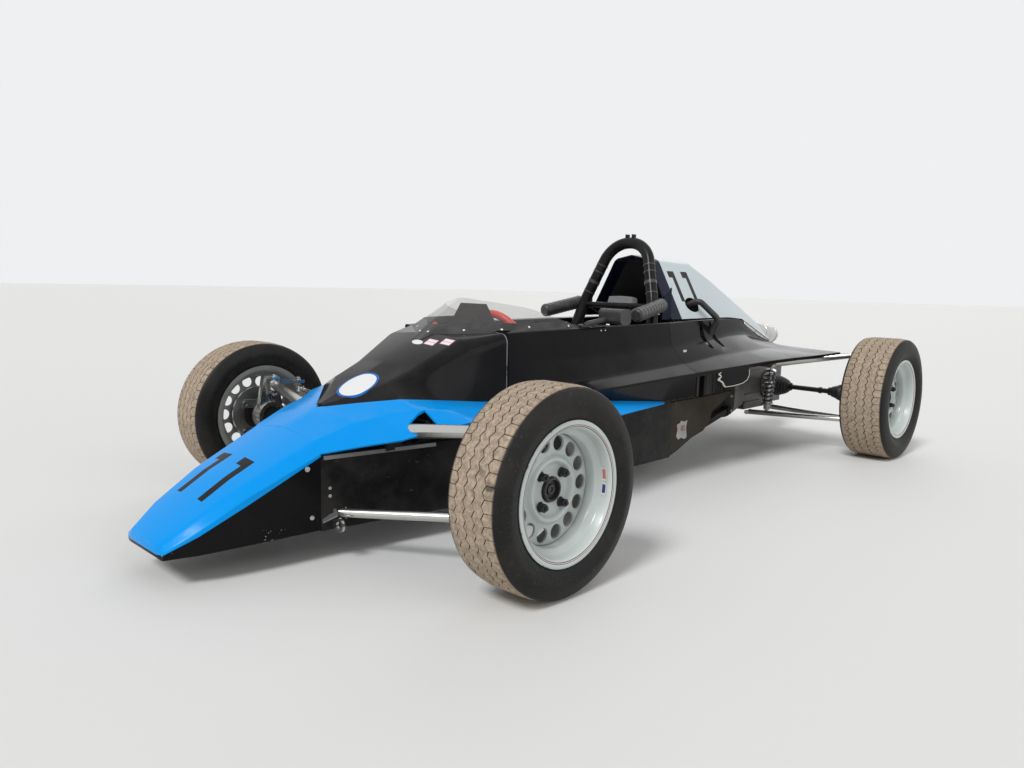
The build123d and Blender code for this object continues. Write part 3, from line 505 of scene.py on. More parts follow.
SHEET = workshop(
    "bare_sheet", (0.36, 0.365, 0.37), 0.25, [((5, 6), (0.4, 0.8), 0.6, GRIME, 0.25)],
    (BRUSH, 0.25), (BRUSH, 0.08, 0.0004), metallic=0.85,
)
SILVER = workshop(
    "silver_can", (0.62, 0.62, 0.61), 0.16,
    [((6, 5, (2, 1, 1)), (0.45, 0.75), 0.45, (0.34, 0.27, 0.20), 0.15)],
    ((60, 2, (8, 0.6, 0.6)), 0.22), metallic=0.95,
)
RUBBER = workshop(
    "dull_rubber", (0.018, 0.018, 0.019), 0.5, [((18, 5), (0.45, 0.85), 0.4, GRIME, 0.2)],
    grain=((300, 2), 0.2, 0.0005),
)
# Black cloth tape: a fine weave, and pale scuffed patches
TAPE = workshop(
    "tape_cloth", (0.016, 0.016, 0.018), 0.42, [((26, 5), (0.55, 0.8), 0.5, (0.13, 0.13, 0.135), 0.25)],
    grain=((700, 1), 0.35, 0.0004), sheen_weight=0.25,
)
FOAM = workshop(
    "grey_foam", (0.17, 0.175, 0.18), 0.85, [((20, 5), (0.5, 0.8), 0.4, (0.09, 0.09, 0.09), 0)],
    grain=(420, 0.4, 0.0008), sheen_weight=0.3,
)
RED = workshop(
    "red_grip", (0.74, 0.028, 0.018), 0.34, [((24, 5), (0.5, 0.8), 0.35, (0.36, 0.05, 0.035), 0.2)],
    grain=(520, 0.25, 0.0005),
)
# Screen: clear plastic, faintly smoked, with fine scratches that catch the light
CLEAR = workshop(
    "clear_sheet", (0.20, 0.19, 0.185), 0.03, [((60, 3, (1, 6, 6)), (0.6, 0.72), 0, None, 0.25)],
    grain=((6, 1), 0.1, 0.002), alpha=0.18, ior=1.45,
)
MOULDED = workshop(
    "moulded_black", (0.012, 0.012, 0.013), 0.36, [((12, 5), (0.45, 0.85), 0.22, DUST, 0.2)],
    grain=((520, 2), 0.25, 0.0004),
)
BODY_BLACK = plain_paint("body_black", BLACK, 0.08, 0.05)
BODY_BLUE = plain_paint("body_blue", BLUE, 0.13, 0.05)
BODY_NAVY = plain_paint("body_navy", (0.006, 0.010, 0.028), 0.1, 0.05)
BODY_BROWN = plain_paint("body_brown", (0.030, 0.024, 0.018), 0.3, 0.3)
FRAME_BLACK = satin_black("frame_black", 0.14, 0.38)
SKIN_BLACK = satin_black("skin_black", 0.12, 0.22)
HOOP_BLACK = satin_black("hoop_black", 0.05, 0.1)
DASH_BLACK = satin_black("dash_black", 0.06, 0.42)
RIVET = plain("rivet_bright", (0.62, 0.62, 0.60), 0.3, 0.8)
LABEL = plain("blank_label", (0.72, 0.72, 0.70), 0.35)
print(len(bpy.data.materials), "finishes")

# %% [markdown]
# ## Helpers for new pieces
# A new piece is a bmesh that is turned into an object at the origin, given its finish, and told
# which body it rides on. Panels come from a copy of the frame's mesh: its loose triangles are
# merged, flat neighbours joined, and its corners rounded by a Bevel, so that every edge catches a
# thin line of light.

# %% Making, placing and rounding
# Angles in degrees: flatter joints are dissolved, and steeper ones are rounded
FLAT = 0.6
CORNER = 28


def make(name, bm, material, slot=None, body="chassis", smooth=30, replaces=()):
    """Object from a bmesh in the car's millimetres. Edges sharper than smooth degrees stay crisp."""
    bmesh.ops.transform(bm, matrix=CAR, verts=bm.verts)
    bmesh.ops.recalc_face_normals(bm, faces=bm.faces)
    mesh = bpy.data.meshes.new(name)
    bm.to_mesh(mesh)
    bm.free()
    mesh.shade_smooth()
    mesh.set_sharp_from_angle(angle=math.radians(smooth))
    obj = link(name, mesh)
    mesh.materials.append(material)
    print(name, "has", len(mesh.polygons), "faces")
    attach(obj, body)
    if replaces:
        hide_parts(*replaces)
    return obj


def placed(bm, matrix):
    bmesh.ops.transform(bm, matrix=matrix, verts=bm.verts)
    return bm


def join(bm, other, matrix=Matrix.Identity(4)):
    """Adds another bmesh to this one and frees it."""
    mesh = bpy.data.meshes.new("part")
    placed(other, matrix).to_mesh(mesh)
    other.free()
    bm.from_mesh(mesh)
    bpy.data.meshes.remove(mesh)


def merged_copy(node):
    """A node's mesh in the car's millimetres, with its loose triangles joined."""
    bm = bmesh.new()
    bm.from_mesh(nodes[node].data)
    bmesh.ops.transform(bm, matrix=CAR.inverted(), verts=bm.verts)
    bmesh.ops.remove_doubles(bm, verts=bm.verts, dist=0.02)
    return bm


def dressed(node, material, width):
    """Panel with rounded edges that takes the place of its node."""
    bm = merged_copy(node)
    bmesh.ops.dissolve_limit(
        bm, angle_limit=math.radians(FLAT), use_dissolve_boundaries=False, verts=bm.verts, edges=bm.edges
    )
    body = node if node.startswith("knuckle") else "chassis"
    obj = make(node + "_skin", bm, material, body=body, smooth=CORNER, replaces=[node])
    bevel = obj.modifiers.new("round", "BEVEL")
    bevel.width = width * MM
    bevel.segments = 2
    bevel.limit_method = "ANGLE"
    bevel.angle_limit = math.radians(CORNER)
    bevel.harden_normals = True
    bevel.miter_outer = "MITER_ARC"


SURFACES = [
    # finish, edge radius in millimetres, or 0 for a node that stays as it is, and the nodes
    (nose_paint(), 1.6, "nose_cone"),
    (BODY_BLUE, 1.6, "front_fairing"),
    (scuttle_paint(), 1.6, "scuttle"),
    (BODY_BLACK, 1.6, "cockpit_sides rear_deck"),
    (cover_paint(), 1.6, "engine_cover"),
    (BODY_NAVY, 1.6, "hoop_fairing"),
    (BODY_BROWN, 1.2, "rear_skins"),
    (SKIN_BLACK, 1.0, "side_skins"),
    (MOULDED, 2.2, "seat"),
    (MOULDED, 1.0, "mirror_left"),
    (CAST, 5.0, "gearbox"),
    (CAST, 2.0, "rear_uprights"),
    (PLATED, 1.0, "pedals"),
    (FRAME_BLACK, 1.5, "frame_sides frame_cross"),
    (SHEET, 6.0, "fuel_tank"),
    (PLATED, 1.2, "knuckle_left knuckle_right"),
    (SHEET, 0, "floor_pan firewall"),
    (CLEAR, 0, "screen"),
    (HOOP_BLACK, 0, "roll_hoop"),
    (DASH_BLACK, 0, "dashboard"),
    (IRON, 0, "steering_column"),
    (CAST, 0, "column_clamp rack_housing"),
    (PLATED, 0, "tie_rods front_lower_wishbones front_rockers rear_top_arms rear_lower_wishbones"),
    (PLATED, 0, "front_tow_eye rear_tow_eye"),
    (MOULDED, 0, "gear_lever"),
    (SILVER, 0, "exhaust"),
    (RUBBER, 0, "side_pipe"),
]
for material, width, names in SURFACES:
    for node in names.split():
        if width:
            dressed(node, material, width)
        else:
            nodes[node].data.materials.clear()
            nodes[node].data.materials.append(material)

# %% [markdown]
# ## Tyres
# The tyres are treaded road-racing tyres: five ribs between four zigzag grooves, and at every pitch
# one short cut across each shoulder, at the outer bend of the zigzag. A tread like this could be
# painted as bump, but the wheels stand in the foreground and their outline shows it. So one profile
# with the grooves in it is spun about the axle. Then each ring of points moves sideways by the
# zigzag, and the points at a cut sink.

# %% Tyre shape
PITCHES = 54
RING_PLACES = (0, 0.05, 0.10, 0.5, 0.55, 0.60)
# The ring at which the zigzag stands furthest to the left, and furthest to the right
CUT_ROWS = (1, 4)
GROOVE_HALF = 1.8
GROOVE_DEPTH = 6.5
ZIGZAG = 4.4
CUT_DEPTH = 3.0
FRONT_TYRE = dict(radius=267, half=89, seat=75, rim=80)
REAR_TYRE = dict(radius=280, half=102.5, seat=85, rim=90)
WHEELS = {
    # corner: (place of the middle of the wheel, side, tyre)
    "front_left": ((0, 740, 267), 1, FRONT_TYRE),
    "front_right": ((0, -740, 267), -1, FRONT_TYRE),
    "rear_left": ((-2420, 710, 280), 1, REAR_TYRE),
    "rear_right": ((-2420, -710, 280), -1, REAR_TYRE),
}


def polar(radius, turn, height=0):
    return Vector((radius * math.cos(turn), radius * math.sin(turn), height))


def spun(outline, count=96, closed=True):
    """Shape turned about the Z axis, from an outline of (height along the axis, radius)."""
    bm = bmesh.new()
    verts = [bm.verts.new((radius, 0, along)) for along, radius in outline]
    edges = [bm.edges.new(pair) for pair in zip(verts, verts[1:])]
    if closed:
        edges.append(bm.edges.new((verts[-1], verts[0])))
    bmesh.ops.spin(
        bm, geom=verts + edges, cent=(0, 0, 0), axis=(0, 0, 1), angle=math.tau, steps=count,
        use_merge=True,
    )
    bmesh.ops.remove_doubles(bm, verts=bm.verts, dist=1e-6)
    return bm


def crown(tyre, across):
    """Radius of the tread, which falls a little towards its shoulders."""
    beyond = max(abs(across) - (tyre["half"] - 50), 0) / 35
    return tyre["radius"] - 5 * beyond ** 1.6


def groove_spacing(tyre):
    """Four grooves stand evenly about the middle, and leave a wider row at each shoulder."""
    return (tyre["half"] - 14) * 0.4


def tyre_profile(tyre):
    """One half, from the middle of the tread to the bead and back inside, as (across, radius)."""
    half, radius, seat = tyre["half"], tyre["radius"], tyre["seat"]
    spacing = groove_spacing(tyre)
    tread = []
    for middle in (spacing / 2, spacing * 1.5):
        floor = crown(tyre, middle) - GROOVE_DEPTH
        tread += [
            (middle - GROOVE_HALF, crown(tyre, middle - GROOVE_HALF)),
            (middle - GROOVE_HALF * 0.8, floor),
            (middle + GROOVE_HALF * 0.8, floor),
            (middle + GROOVE_HALF, crown(tyre, middle + GROOVE_HALF)),
        ]
        if middle < spacing:
            tread.append((spacing, crown(tyre, spacing)))
    wall = [
        (half - 22, crown(tyre, half - 22)), (half - 15, radius - 5), (half - 9, radius - 10),
        (half - 5, radius - 22), (half - 2, radius - 32), (half, 226), (half - 0.4, 214),
        (half - 1.6, 212), (half - 3, 203), (seat + 5, 191), (seat + 3.5, 189), (seat, 183.5),
        (seat, 165), (seat - 22, 163.5),
    ]
    inner = [(half - 16, 220), (half - 18, radius - 30), (half - 48, radius - 24)]
    return tread + wall + inner


def zigzag(place):
    """Sideways shift at a place from 0 to 1 within one pitch."""
    return ZIGZAG * (abs((place - 0.05) % 1 - 0.5) * 4 - 1)


def tyre_mesh(tyre):
    outline = tyre_profile(tyre)
    whole = outline + [(-across, away) for across, away in outline[::-1]]
    count = len(RING_PLACES)
    bm = spun(whole, PITCHES * count)
    worn = bm.verts.layers.float.new("worn")
    last_groove = groove_spacing(tyre) * 1.5 + GROOVE_HALF
    for vert in bm.verts:
        across = vert.co.z
        away = math.hypot(vert.co.x, vert.co.y)
        ring = round(math.atan2(vert.co.y, vert.co.x) / math.tau * PITCHES * count)
        pitch, row = divmod(ring, count)
        turn = (pitch + RING_PLACES[row]) / PITCHES * math.tau
        if away > crown(tyre, across) - 0.6 and abs(across) < tyre["half"] - 12:
            beyond = abs(across) > tyre["half"] - 19
            shoulder = abs(across) > last_groove - 0.1 and not beyond
            cut = shoulder and row == CUT_ROWS[across < 0]
            vert[worn] = 0 if beyond else 0.15 if cut else 1
            away -= cut * CUT_DEPTH
        if abs(across) <= last_groove + 0.1 and away > tyre["radius"] - 14:
            across += zigzag(RING_PLACES[row])
        vert.co = polar(away, turn, across)
    return bm


# %% [markdown]
# Dust from the road sits on the tread and leaves the grooves and side walls dark. The mesh keeps a
# number at every point, 1 on the worn top of the tread, so that one finish serves all four tyres.

# %% Tyre finish and the four tyres
def tyre_rubber():
    finish = Finish("tyre_rubber", (0.008, 0.0077, 0.0074), specular_ior_level=0.2)
    speck = finish.noise(90, 4, EVEN, 0.7)
    grime = finish.noise(7, 6, EVEN, 0.6).rise(0.42, 0.75)
    finish.paint(grime * 0.3, (0.075, 0.066, 0.055))
    finish.paint(finish.noise(150, 3).rise(0.6, 0.72) * 0.25, GRIME)
    tan = finish.mix(speck.rise(0.25, 0.75), (0.17, 0.127, 0.092), (0.53, 0.43, 0.325))
    top = finish.stored("worn").rise(0.1, 0.85) * (1 - finish.noise(11, 3).rise(0.68, 0.74) * 0.75)
    finish.paint(top, tan)
    finish.roughness = top * 0.3 + grime * 0.15 + 0.5
    finish.bump(speck, 0.5, 0.0008)
    finish.bump(finish.noise(20, 2), 0.15, 0.001)
    return finish.done()


def facing(place, axis, turn=0):
    """Matrix that stands a shape at a place with its Z along an axis."""
    quat = Vector(axis).to_track_quat("Z", "Y")
    return Matrix.Translation(Vector(place)) @ quat.to_matrix().to_4x4() @ Matrix.Rotation(turn, 4, "Z")


def lifted(height):
    return Matrix.Translation((0, 0, height))


def on_wheel(corner, name, bm, material, slot, smooth=30, old=None, out=0):
    """Stands a shape about the Z axis at a wheel, so far out from its middle, to roll with it."""
    place, side, _ = WHEELS[corner]
    placed(bm, facing(place, (0, side, 0)) @ lifted(out))
    make(name + corner, bm, material, slot, "wheel_" + corner, smooth, [old + corner] if old else ())


TYRE = tyre_rubber()
for corner, (_, _, tyre) in WHEELS.items():
    on_wheel(corner, "tread_", tyre_mesh(tyre), TYRE, "tyre_dusty", 32, "tyre_")
print("each tyre has", PITCHES, "pitches of tread")

# %% [markdown]
# ## Wheels
# The wheels are pressed steel: a rolled barrel, and a deep disc with fourteen holes round a raised
# ring. A press turns the edge of each hole inwards. One fourteenth of the disc is bridged from the
# edge of its hole outwards, copied round the axle, and joined to a spun middle and a spun rim.

# %% Wheel shape
VENTS = 14
VENT_CIRCLE = 117
SECTOR_STEPS = 6
SECTOR_RADII = (93, 138)
DISH_DEPTH = 68
SHEET_WALL = 3.5
VENT_EDGE = [(18.6, -6), (19.1, -2.5), (19.8, -0.6), (20.5, 0)]
DISC_MIDDLE = [(0, 93), (0.4, 90), (4, 85.5), (9.5, 82), (12, 78.5), (12, 75), (9, 71), (3.5, 67),
               (0.3, 63.5), (0, 60), (0, 34), (-2, 32), (-5, 31.4)]
DISC_EDGE = [(0, 138), (-1.2, 140.4), (-5, 141.4), (-16, 141.8)]
# Outline of the barrel as (inwards from a lip, radius): first the outer lip and the well, then the
# inner lip and back, then the back of the outer lip
BARREL_FRONT = [(4.5, 182.4), (1.5, 183), (0.2, 181), (0, 177), (1, 170), (4, 164.5), (9, 161.5),
                (28, 159), (34, 156), (41, 145), (46, 142)]
BARREL_REAR = [(42, 142), (37, 145), (30, 156), (24, 159), (8, 161.5), (3, 164.5), (0, 170),
               (0, 182.4), (4, 182.4), (4, 166), (28, 163), (42, 146)]
BARREL_BACK = [(46, 146), (30, 163), (4.5, 166)]


def sector_outline():
    """Places round one fourteenth of the holed ring."""
    inner, outer = SECTOR_RADII
    half = math.pi / VENTS
    shares = [number / SECTOR_STEPS for number in range(SECTOR_STEPS)]
    places = [(inner + (outer - inner) * share, half) for share in shares]
    places += [(outer, half - 2 * half * share) for share in shares]
    places += [(outer + (inner - outer) * share, -half) for share in shares]
    places += [(inner, -half + 2 * half * share) for share in shares]
    return [polar(away, turn) for away, turn in places]


def bridged(bm, loops):
    """Faces between each closed loop of places and the next."""
    rings = []
    for places in loops:
        verts = [bm.verts.new(place) for place in places]
        rings.append([bm.edges.new((vert, verts[i - 1])) for i, vert in enumerate(verts)])
    for first, second in zip(rings, rings[1:]):
        bmesh.ops.bridge_loops(bm, edges=first + second)


def holed_ring():
    """The ring of the disc that carries the holes, in millimetres about the Z axis."""
    bm = bmesh.new()
    middle = Vector((VENT_CIRCLE, 0, 0))
    outline = sector_outline()
    ways = [(place - middle).normalized() for place in outline]
    edge = [[middle + way * away + Vector((0, 0, up)) for way in ways] for away, up in VENT_EDGE]
    bridged(bm, [*edge, outline])
    bmesh.ops.spin(
        bm, geom=bm.verts[:] + bm.edges[:] + bm.faces[:], cent=(0, 0, 0), axis=(0, 0, 1),
        angle=math.tau * (VENTS - 1) / VENTS, steps=VENTS - 1, use_duplicate=True,
    )
    return bm


def wheel_disc():
    bm = holed_ring()
    for outline in (DISC_MIDDLE, DISC_EDGE):
        join(bm, spun(outline, VENTS * SECTOR_STEPS, False))
    bmesh.ops.remove_doubles(bm, verts=bm.verts, dist=0.02)
    bmesh.ops.recalc_face_normals(bm, faces=bm.faces)
    bmesh.ops.solidify(bm, geom=bm.faces[:], thickness=SHEET_WALL)
    return bm


def wheel_barrel(half):
    """Rolled rim with curled lips, a bead seat at each side and a well between them."""
    front = [(half - inwards, radius) for inwards, radius in BARREL_FRONT]
    rear = [(inwards - half, radius) for inwards, radius in BARREL_REAR]
    back = [(half - inwards, radius) for inwards, radius in BARREL_BACK]
    return spun(front + rear + back, 112)


# %% [markdown]
# Pale green-white enamel, thick enough to run: two thin lines round the lip, brake dust in the well, an
# even darkening deep behind the disc, and scuffs at the very edge. The mesh stores how far each point
# lies from the axle and along it, because a line round a wheel follows the wheel and not the car.

# %% Wheel finish and the four wheels
# Radii, then colour
RIM_LINES = [(166.4, 168.4, (0.16, 0.012, 0.02)), (170.2, 171.8, (0.10, 0.012, 0.022))]
SCUFF_RADIUS = 181.2


def wheel_enamel():
    finish = Finish("wheel_enamel", (0.54, 0.60, 0.585), coat_weight=0.3, coat_roughness=0.12)
    away, deep = finish.stored("from_axle"), finish.stored("depth")
    cloud = finish.noise(9, 6, EVEN, 0.6)
    well = deep.rise(20, 90)
    finish.paint(cloud.rise(0.35, 0.8) * (well * 0.45 + 0.16), (0.22, 0.21, 0.18))
    # Everything deeper than about 62 mm behind the outer lip is made evenly darker, with no noise in it
    finish.paint(well.rise(0.6, 1) * 0.75, (0.16, 0.15, 0.13))
    for inner, outer, colour in RIM_LINES:
        finish.paint(away.between(inner, outer) * (deep < 20), colour)
    scuff = (away > SCUFF_RADIUS) * finish.noise(60, 4).rise(0.55, 0.65)
    finish.paint(scuff, (0.24, 0.23, 0.21))
    finish.roughness = cloud * 0.25 + 0.2
    finish.bump(finish.noise(90, 1), 0.08, 0.0006)
    return finish.done()


def mark_wheel(bm, rim_half):
    """Stores each point's distance from the axle, and how deep it lies behind the outer lip."""
    from_axle = bm.verts.layers.float.new("from_axle")
    depth = bm.verts.layers.float.new("depth")
    for vert in bm.verts:
        vert[from_axle] = math.hypot(vert.co.x, vert.co.y)
        vert[depth] = rim_half - vert.co.z


WHEEL = wheel_enamel()
for corner, (_, _, tyre) in WHEELS.items():
    bm = wheel_barrel(tyre["rim"])
    join(bm, wheel_disc(), lifted(tyre["rim"] - DISH_DEPTH))
    mark_wheel(bm, tyre["rim"])
    on_wheel(corner, "wheel_", bm, WHEEL, "wheel_mint", 40, "rim_")

# %% [markdown]
# Each wheel is held by four nuts on long studs, round the hollow end of the hub. The brake disc
# shows through the holes. The front left wheel still has two small blank stickers inside its rim.

# %% Hubs, nuts and stickers
STUD_CIRCLE = 54
# Start above the disc's face, radius, length, sides and radius at the top
NUT_DISCS = [(0, 13.5, 3.5, 24, 11), (3.5, 11, 15, 6, 11), (18.5, 11, 2, 6, 9), (17, 6, 8, 16, 5)]
# Outlines about the axle, as (along from the disc's face, radius)
HUB = [(-125, 0), (-125, 35), (-41, 36), (-41, 58), (-24, 60), (-17, 60), (-17, 66), (-16, 68),
       (-6, 68), (-5, 67), (-5, 30.9), (7, 30.8), (9, 29.5), (9, 25.5), (-3, 23), (-3, 14), (3, 12),
       (3, 7), (0, 6), (0, 0)]
BRAKE_DISC = [(-39, 58), (-29, 58), (-29, 99.4), (-29.6, 100), (-38.4, 100), (-39, 99.4)]
# Inside the front left rim: angle in degrees from straight up towards the back, length, colour
RIM_STICKERS = [(75, 38, (0.60, 0.20, 0.19)), (90, 34, (0.03, 0.05, 0.22))]
STICKER_RADIUS = 158.4
NUT = plain("wheel_nut", (0.045, 0.045, 0.05), 0.35, 0.8)
DISC_STEEL = plain("disc_steel", (0.42, 0.41, 0.40), 0.32, 0.9)


def add_disc(bm, place, axis, radius, height, sides=12, top=None, turn=0):
    """Short round or hexagonal solid that starts at a place and stands along an axis."""
    bmesh.ops.create_cone(
        bm, cap_ends=True, segments=sides, radius1=radius, radius2=radius if top is None else top,
        depth=height, matrix=facing(place, axis, turn) @ lifted(height / 2),
    )


def wheel_fasteners():
    """Nuts and stud ends about the Z axis, on the disc's face."""
    bm = bmesh.new()
    for number in range(4):
        turn = math.radians(45 + 90 * number)
        for up, *shape in NUT_DISCS:
            add_disc(bm, polar(STUD_CIRCLE, turn, up), (0, 0, 1), *shape, turn)
    return bm


for corner, (_, _, tyre) in WHEELS.items():
    face = tyre["rim"] - DISH_DEPTH
    on_wheel(corner, "wheel_nuts_", wheel_fasteners(), NUT, "steel_dark", out=face)
    on_wheel(corner, "hub_turned_", spun(HUB, 48, False), IRON, "steel_dark", old="hub_", out=face)
    on_wheel(corner, "brake_disc_", spun(BRAKE_DISC, 64), DISC_STEEL, "steel_dark", out=face)


def rim_plate(start, length, low, high, radius):
    """Thin curved plate inside the front left rim, from an angle in degrees and two depths."""
    place, _, tyre = WHEELS["front_left"]
    bm = bmesh.new()
    ends = [bm.verts.new((0, tyre["rim"] - across, radius)) for across in (low, high)]
    edge = bm.edges.new(ends)
    tilt = Matrix.Rotation(math.radians(-start), 3, "Y")
    bmesh.ops.rotate(bm, cent=(0, 0, 0), matrix=tilt, verts=ends)
    bmesh.ops.spin(
        bm, geom=[*ends, edge], cent=(0, 0, 0), axis=(0, 1, 0), angle=-length / radius, steps=6
    )
    bmesh.ops.solidify(bm, geom=bm.faces[:], thickness=-0.5)
    return placed(bm, Matrix.Translation(place))


for number, (degrees, length, colour) in enumerate(RIM_STICKERS):
    plate = rim_plate(degrees, length, 14, 30, STICKER_RADIUS)
    make(f"rim_sticker_{number}", plate, LABEL, body="wheel_front_left")
    mark = rim_plate(degrees + 2, length - 12, 17, 27, STICKER_RADIUS - 0.4)
    ink = plain(f"sticker_{number}", colour, 0.35)
    make(f"rim_sticker_mark_{number}", mark, ink, body="wheel_front_left")

# %% [markdown]
# ## Springs, joints and shafts
# Each damper carries a coil spring between two collars. A coil is a circle spun about the damper
# while it climbs a little at each step. The ends of the arms are spherical bearings held by nuts,
# and the shafts have ribbed rubber boots, which are spun from a zigzag profile.

# %% Springs and dampers
SPRING_WIRE = 4.6
SPRING_TURNS = 7.5
STEPS_PER_TURN = 26
COLLAR = 27
DAMPERS = {
    # node: (low eye, high eye, spring from, spring to)
    "front_dampers": ((88, 138, 112), (82, 139, 334), 38, 188),
    "rear_dampers": ((-2330, 182, 152), (-2272, 222, 408), 50, 222),
}


def make_pair(name, bm, *rest, **more):
    """Object with its mirror image on the other side of the car."""
    other = placed(bm.copy(), Matrix.Diagonal((1, -1, 1, 1)))
    bmesh.ops.reverse_faces(other, faces=other.faces)
    join(bm, other)
    return make(name, bm, *rest, **more)


def fill_ends(bm):
    bmesh.ops.holes_fill(bm, edges=[edge for edge in bm.edges if edge.is_boundary], sides=0)


def coil(height):
    """Coil spring that climbs the Z axis from the origin."""
    bm = bmesh.new()
    start = Matrix.Translation((COLLAR - SPRING_WIRE, 0, 0)) @ Matrix.Rotation(math.pi / 2, 4, "X")
    circle = bmesh.ops.create_circle(bm, segments=8, radius=SPRING_WIRE, matrix=start)["verts"]
    count = int(SPRING_TURNS * STEPS_PER_TURN)
    bmesh.ops.spin(
        bm, geom=circle + list({edge for vert in circle for edge in vert.link_edges}), cent=(0, 0, 0),
        axis=(0, 0, 1), dvec=(0, 0, height / count), angle=SPRING_TURNS * math.tau, steps=count,
    )
    fill_ends(bm)
    return bm


SPRING = plain("spring_paint", (0.10, 0.105, 0.11), 0.35, 0.3)
for node, (low, high, start, end) in DAMPERS.items():
    along = Vector(high) - Vector(low)
    length = along.length
    stand = facing(low, along.normalized())
    spring = placed(coil(end - start), stand @ lifted(start))
    make_pair(node + "_springs", spring, SPRING, "steel_dark", smooth=60, replaces=[node])
    body = [(0, 0), (0, 9), (14, 9), (16, 17), (start - 6, 17), (start - 6, COLLAR), (start, COLLAR),
            (start, 18), (end - 60, 18), (end - 58, 8), (end, 8), (end, 26), (end + 5, 26),
            (end + 8, 8), (length, 8), (length, 0)]
    make_pair(node + "_bodies", placed(spun(body, 32, False), stand), SILVER, "steel_plated")

# %% Rod ends and nuts
PIVOTS = [
    # place on the left side, half length of the bolt, which lies along the car
    ((246, 184, 129), 22),
    ((-180, 236, 130), 22),
    ((78, 214, 344), 30),
    ((-2290, 104, 145), 22),
    ((-2520, 104, 150), 22),
]
SIDES = ((1, "left"), (-1, "right"))
RACK_BOOT = [(0, 11), (3, 15), (6, 12.5), (9, 16), (12, 13.5), (15, 17), (18, 17), (18, 11)]


def add_ring(bm, place, axis, inner, outer, width, count=40):
    """Flat ring with square edges, centred on a place."""
    half = width / 2
    outline = [(-half, inner), (half, inner), (half, outer), (-half, outer)]
    join(bm, spun(outline, count), facing(place, axis))


def add_nut(bm, place, axis, radius=9, height=8):
    place, axis = Vector(place), Vector(axis)
    add_disc(bm, place, axis, radius * 1.3, 1.5, 20)
    add_disc(bm, place + axis * 1.5, axis, radius, height, 6)
    add_disc(bm, place + axis * (1.5 + height), axis, radius * 0.55, 3, 12)


bm = bmesh.new()
for (x, y, z), half in PIVOTS:
    for way in (-1, 1):
        add_nut(bm, (x + way * half, y, z), (way, 0, 0))
make_pair("pivot_nuts", bm, PLATED, "steel_plated")
for side, name in SIDES:
    bm = bmesh.new()
    for z, way in ((125, -1), (175, 1), (356, -1), (414, 1)):
        add_nut(bm, (0, 592 * side, z), (0, 0, way), 9, 6)
    add_nut(bm, (-105, 604 * side, 396), (0, 0, 1), 8, 7)
    for z in (216, 318):
        add_ring(bm, (94, 632 * side, z), (0, 1, 0), 6, 12, 13, 20)
    make("knuckle_nuts_" + name, bm, PLATED, "steel_plated", "knuckle_" + name)
    boot = placed(spun(RACK_BOOT, 28), facing((-95, 226 * side, 326), (0, -side, 0)))
    make("rack_boot_" + name, boot, RUBBER, "boot_rubber", "steering_rack", 50)

# %% Driveshaft boots
SHAFT_INNER = Vector((-2480, 150, 274))
SHAFT_OUTER = Vector((-2419, 600, 279.3))
# Outlines about the shaft, as (along from its inner end, radius)
INNER_BOOT = [(0, 0), (0, 50), (8, 50), (9, 52), (15, 52), (16, 50), (30, 50), (34, 46), (38, 40),
              (43, 46), (47, 45), (51, 36), (56, 41), (60, 40), (64, 31), (69, 35), (72, 34), (76, 24),
              (81, 26), (84, 19), (90, 17), (90, 0)]
OUTER_BOOT = [(308, 0), (308, 17), (313, 20), (319, 18), (324, 26), (329, 27), (333, 21), (338, 30),
              (343, 31), (347, 25), (353, 36), (358, 38), (364, 38), (365, 40), (370, 40), (371, 38),
              (392, 38), (392, 0)]
SHAFT = [(86, 0), (86, 11), (100, 12.5), (250, 12.5), (252, 16), (262, 16), (264, 12.5), (300, 12.5),
         (312, 11), (312, 0)]
BOOT_CLIP = [(-5, 18), (5, 18), (5, 20.5), (-5, 20.5)]
for side, name in SIDES:
    start = SHAFT_INNER * Vector((1, side, 1))
    stand = facing(start, SHAFT_OUTER * Vector((1, side, 1)) - start)
    bm = bmesh.new()
    for boot in (INNER_BOOT, OUTER_BOOT):
        join(bm, spun(boot, 40, False), stand)
    node = "driveshaft_" + name
    make("shaft_boots_" + name, bm, RUBBER, "boot_rubber", node, 70, [node])
    bm = placed(spun(SHAFT, 28, False), stand)
    for along in (88, 310):
        join(bm, spun(BOOT_CLIP, 28), stand @ lifted(along))
    make("shaft_" + name, bm, IRON, "steel_dark", node)

# %% [markdown]
# ## Rivets and quarter turns
# A rivet looks right only when it sits on its sheet at the sheet's own angle. Measuring each angle
# by hand would be slow, so a line is shot at the frame's mesh from outside, and the place and the
# normal where it lands carry the rivet.

# %% Where a line meets a surface
SHELLS = {}


def shell(name):
    if name not in SHELLS:
        SHELLS[name] = BVHTree.FromBMesh(merged_copy(name))
    return SHELLS[name]


def touch(start, towards, name):
    """Place and outward normal where a line first meets a node."""
    way = (Vector(towards) - Vector(start)).normalized()
    place, normal, _, _ = shell(name).ray_cast(Vector(start), way)
    if place is None:
        raise ValueError(f"no {name} between {tuple(start)} and {tuple(towards)}")
    return place, normal if normal.dot(way) < 0 else -normal


def from_left(x, z, name):
    """Place and normal on the left side of a node, at a distance forward and a height."""
    return touch((x, 900, z), (x, 0, z), name)


# %% Rivet rows along the chassis box
RIVET_PITCH = 62
RIVET_ROWS = [
    # node, then the ends of a row as (x, z) on the left side
    ("side_skins", (285, 100), (-1238, 100)),
    ("side_skins", (285, 282), (-140, 284)),
    ("side_skins", (-160, 356), (-400, 362)),
    ("side_skins", (-420, 362), (-1100, 318)),
    ("rear_skins", (-1262, 300), (-1660, 312)),
    ("rear_skins", (-1262, 150), (-1262, 290)),
]


def steps(start, end, pitch):
    """Evenly spaced places from start to end, about a pitch apart, both ends included."""
    start, end = Vector(start), Vector(end)
    count = max(1, round((end - start).length / pitch))
    return [start.lerp(end, number / count) for number in range(count + 1)]


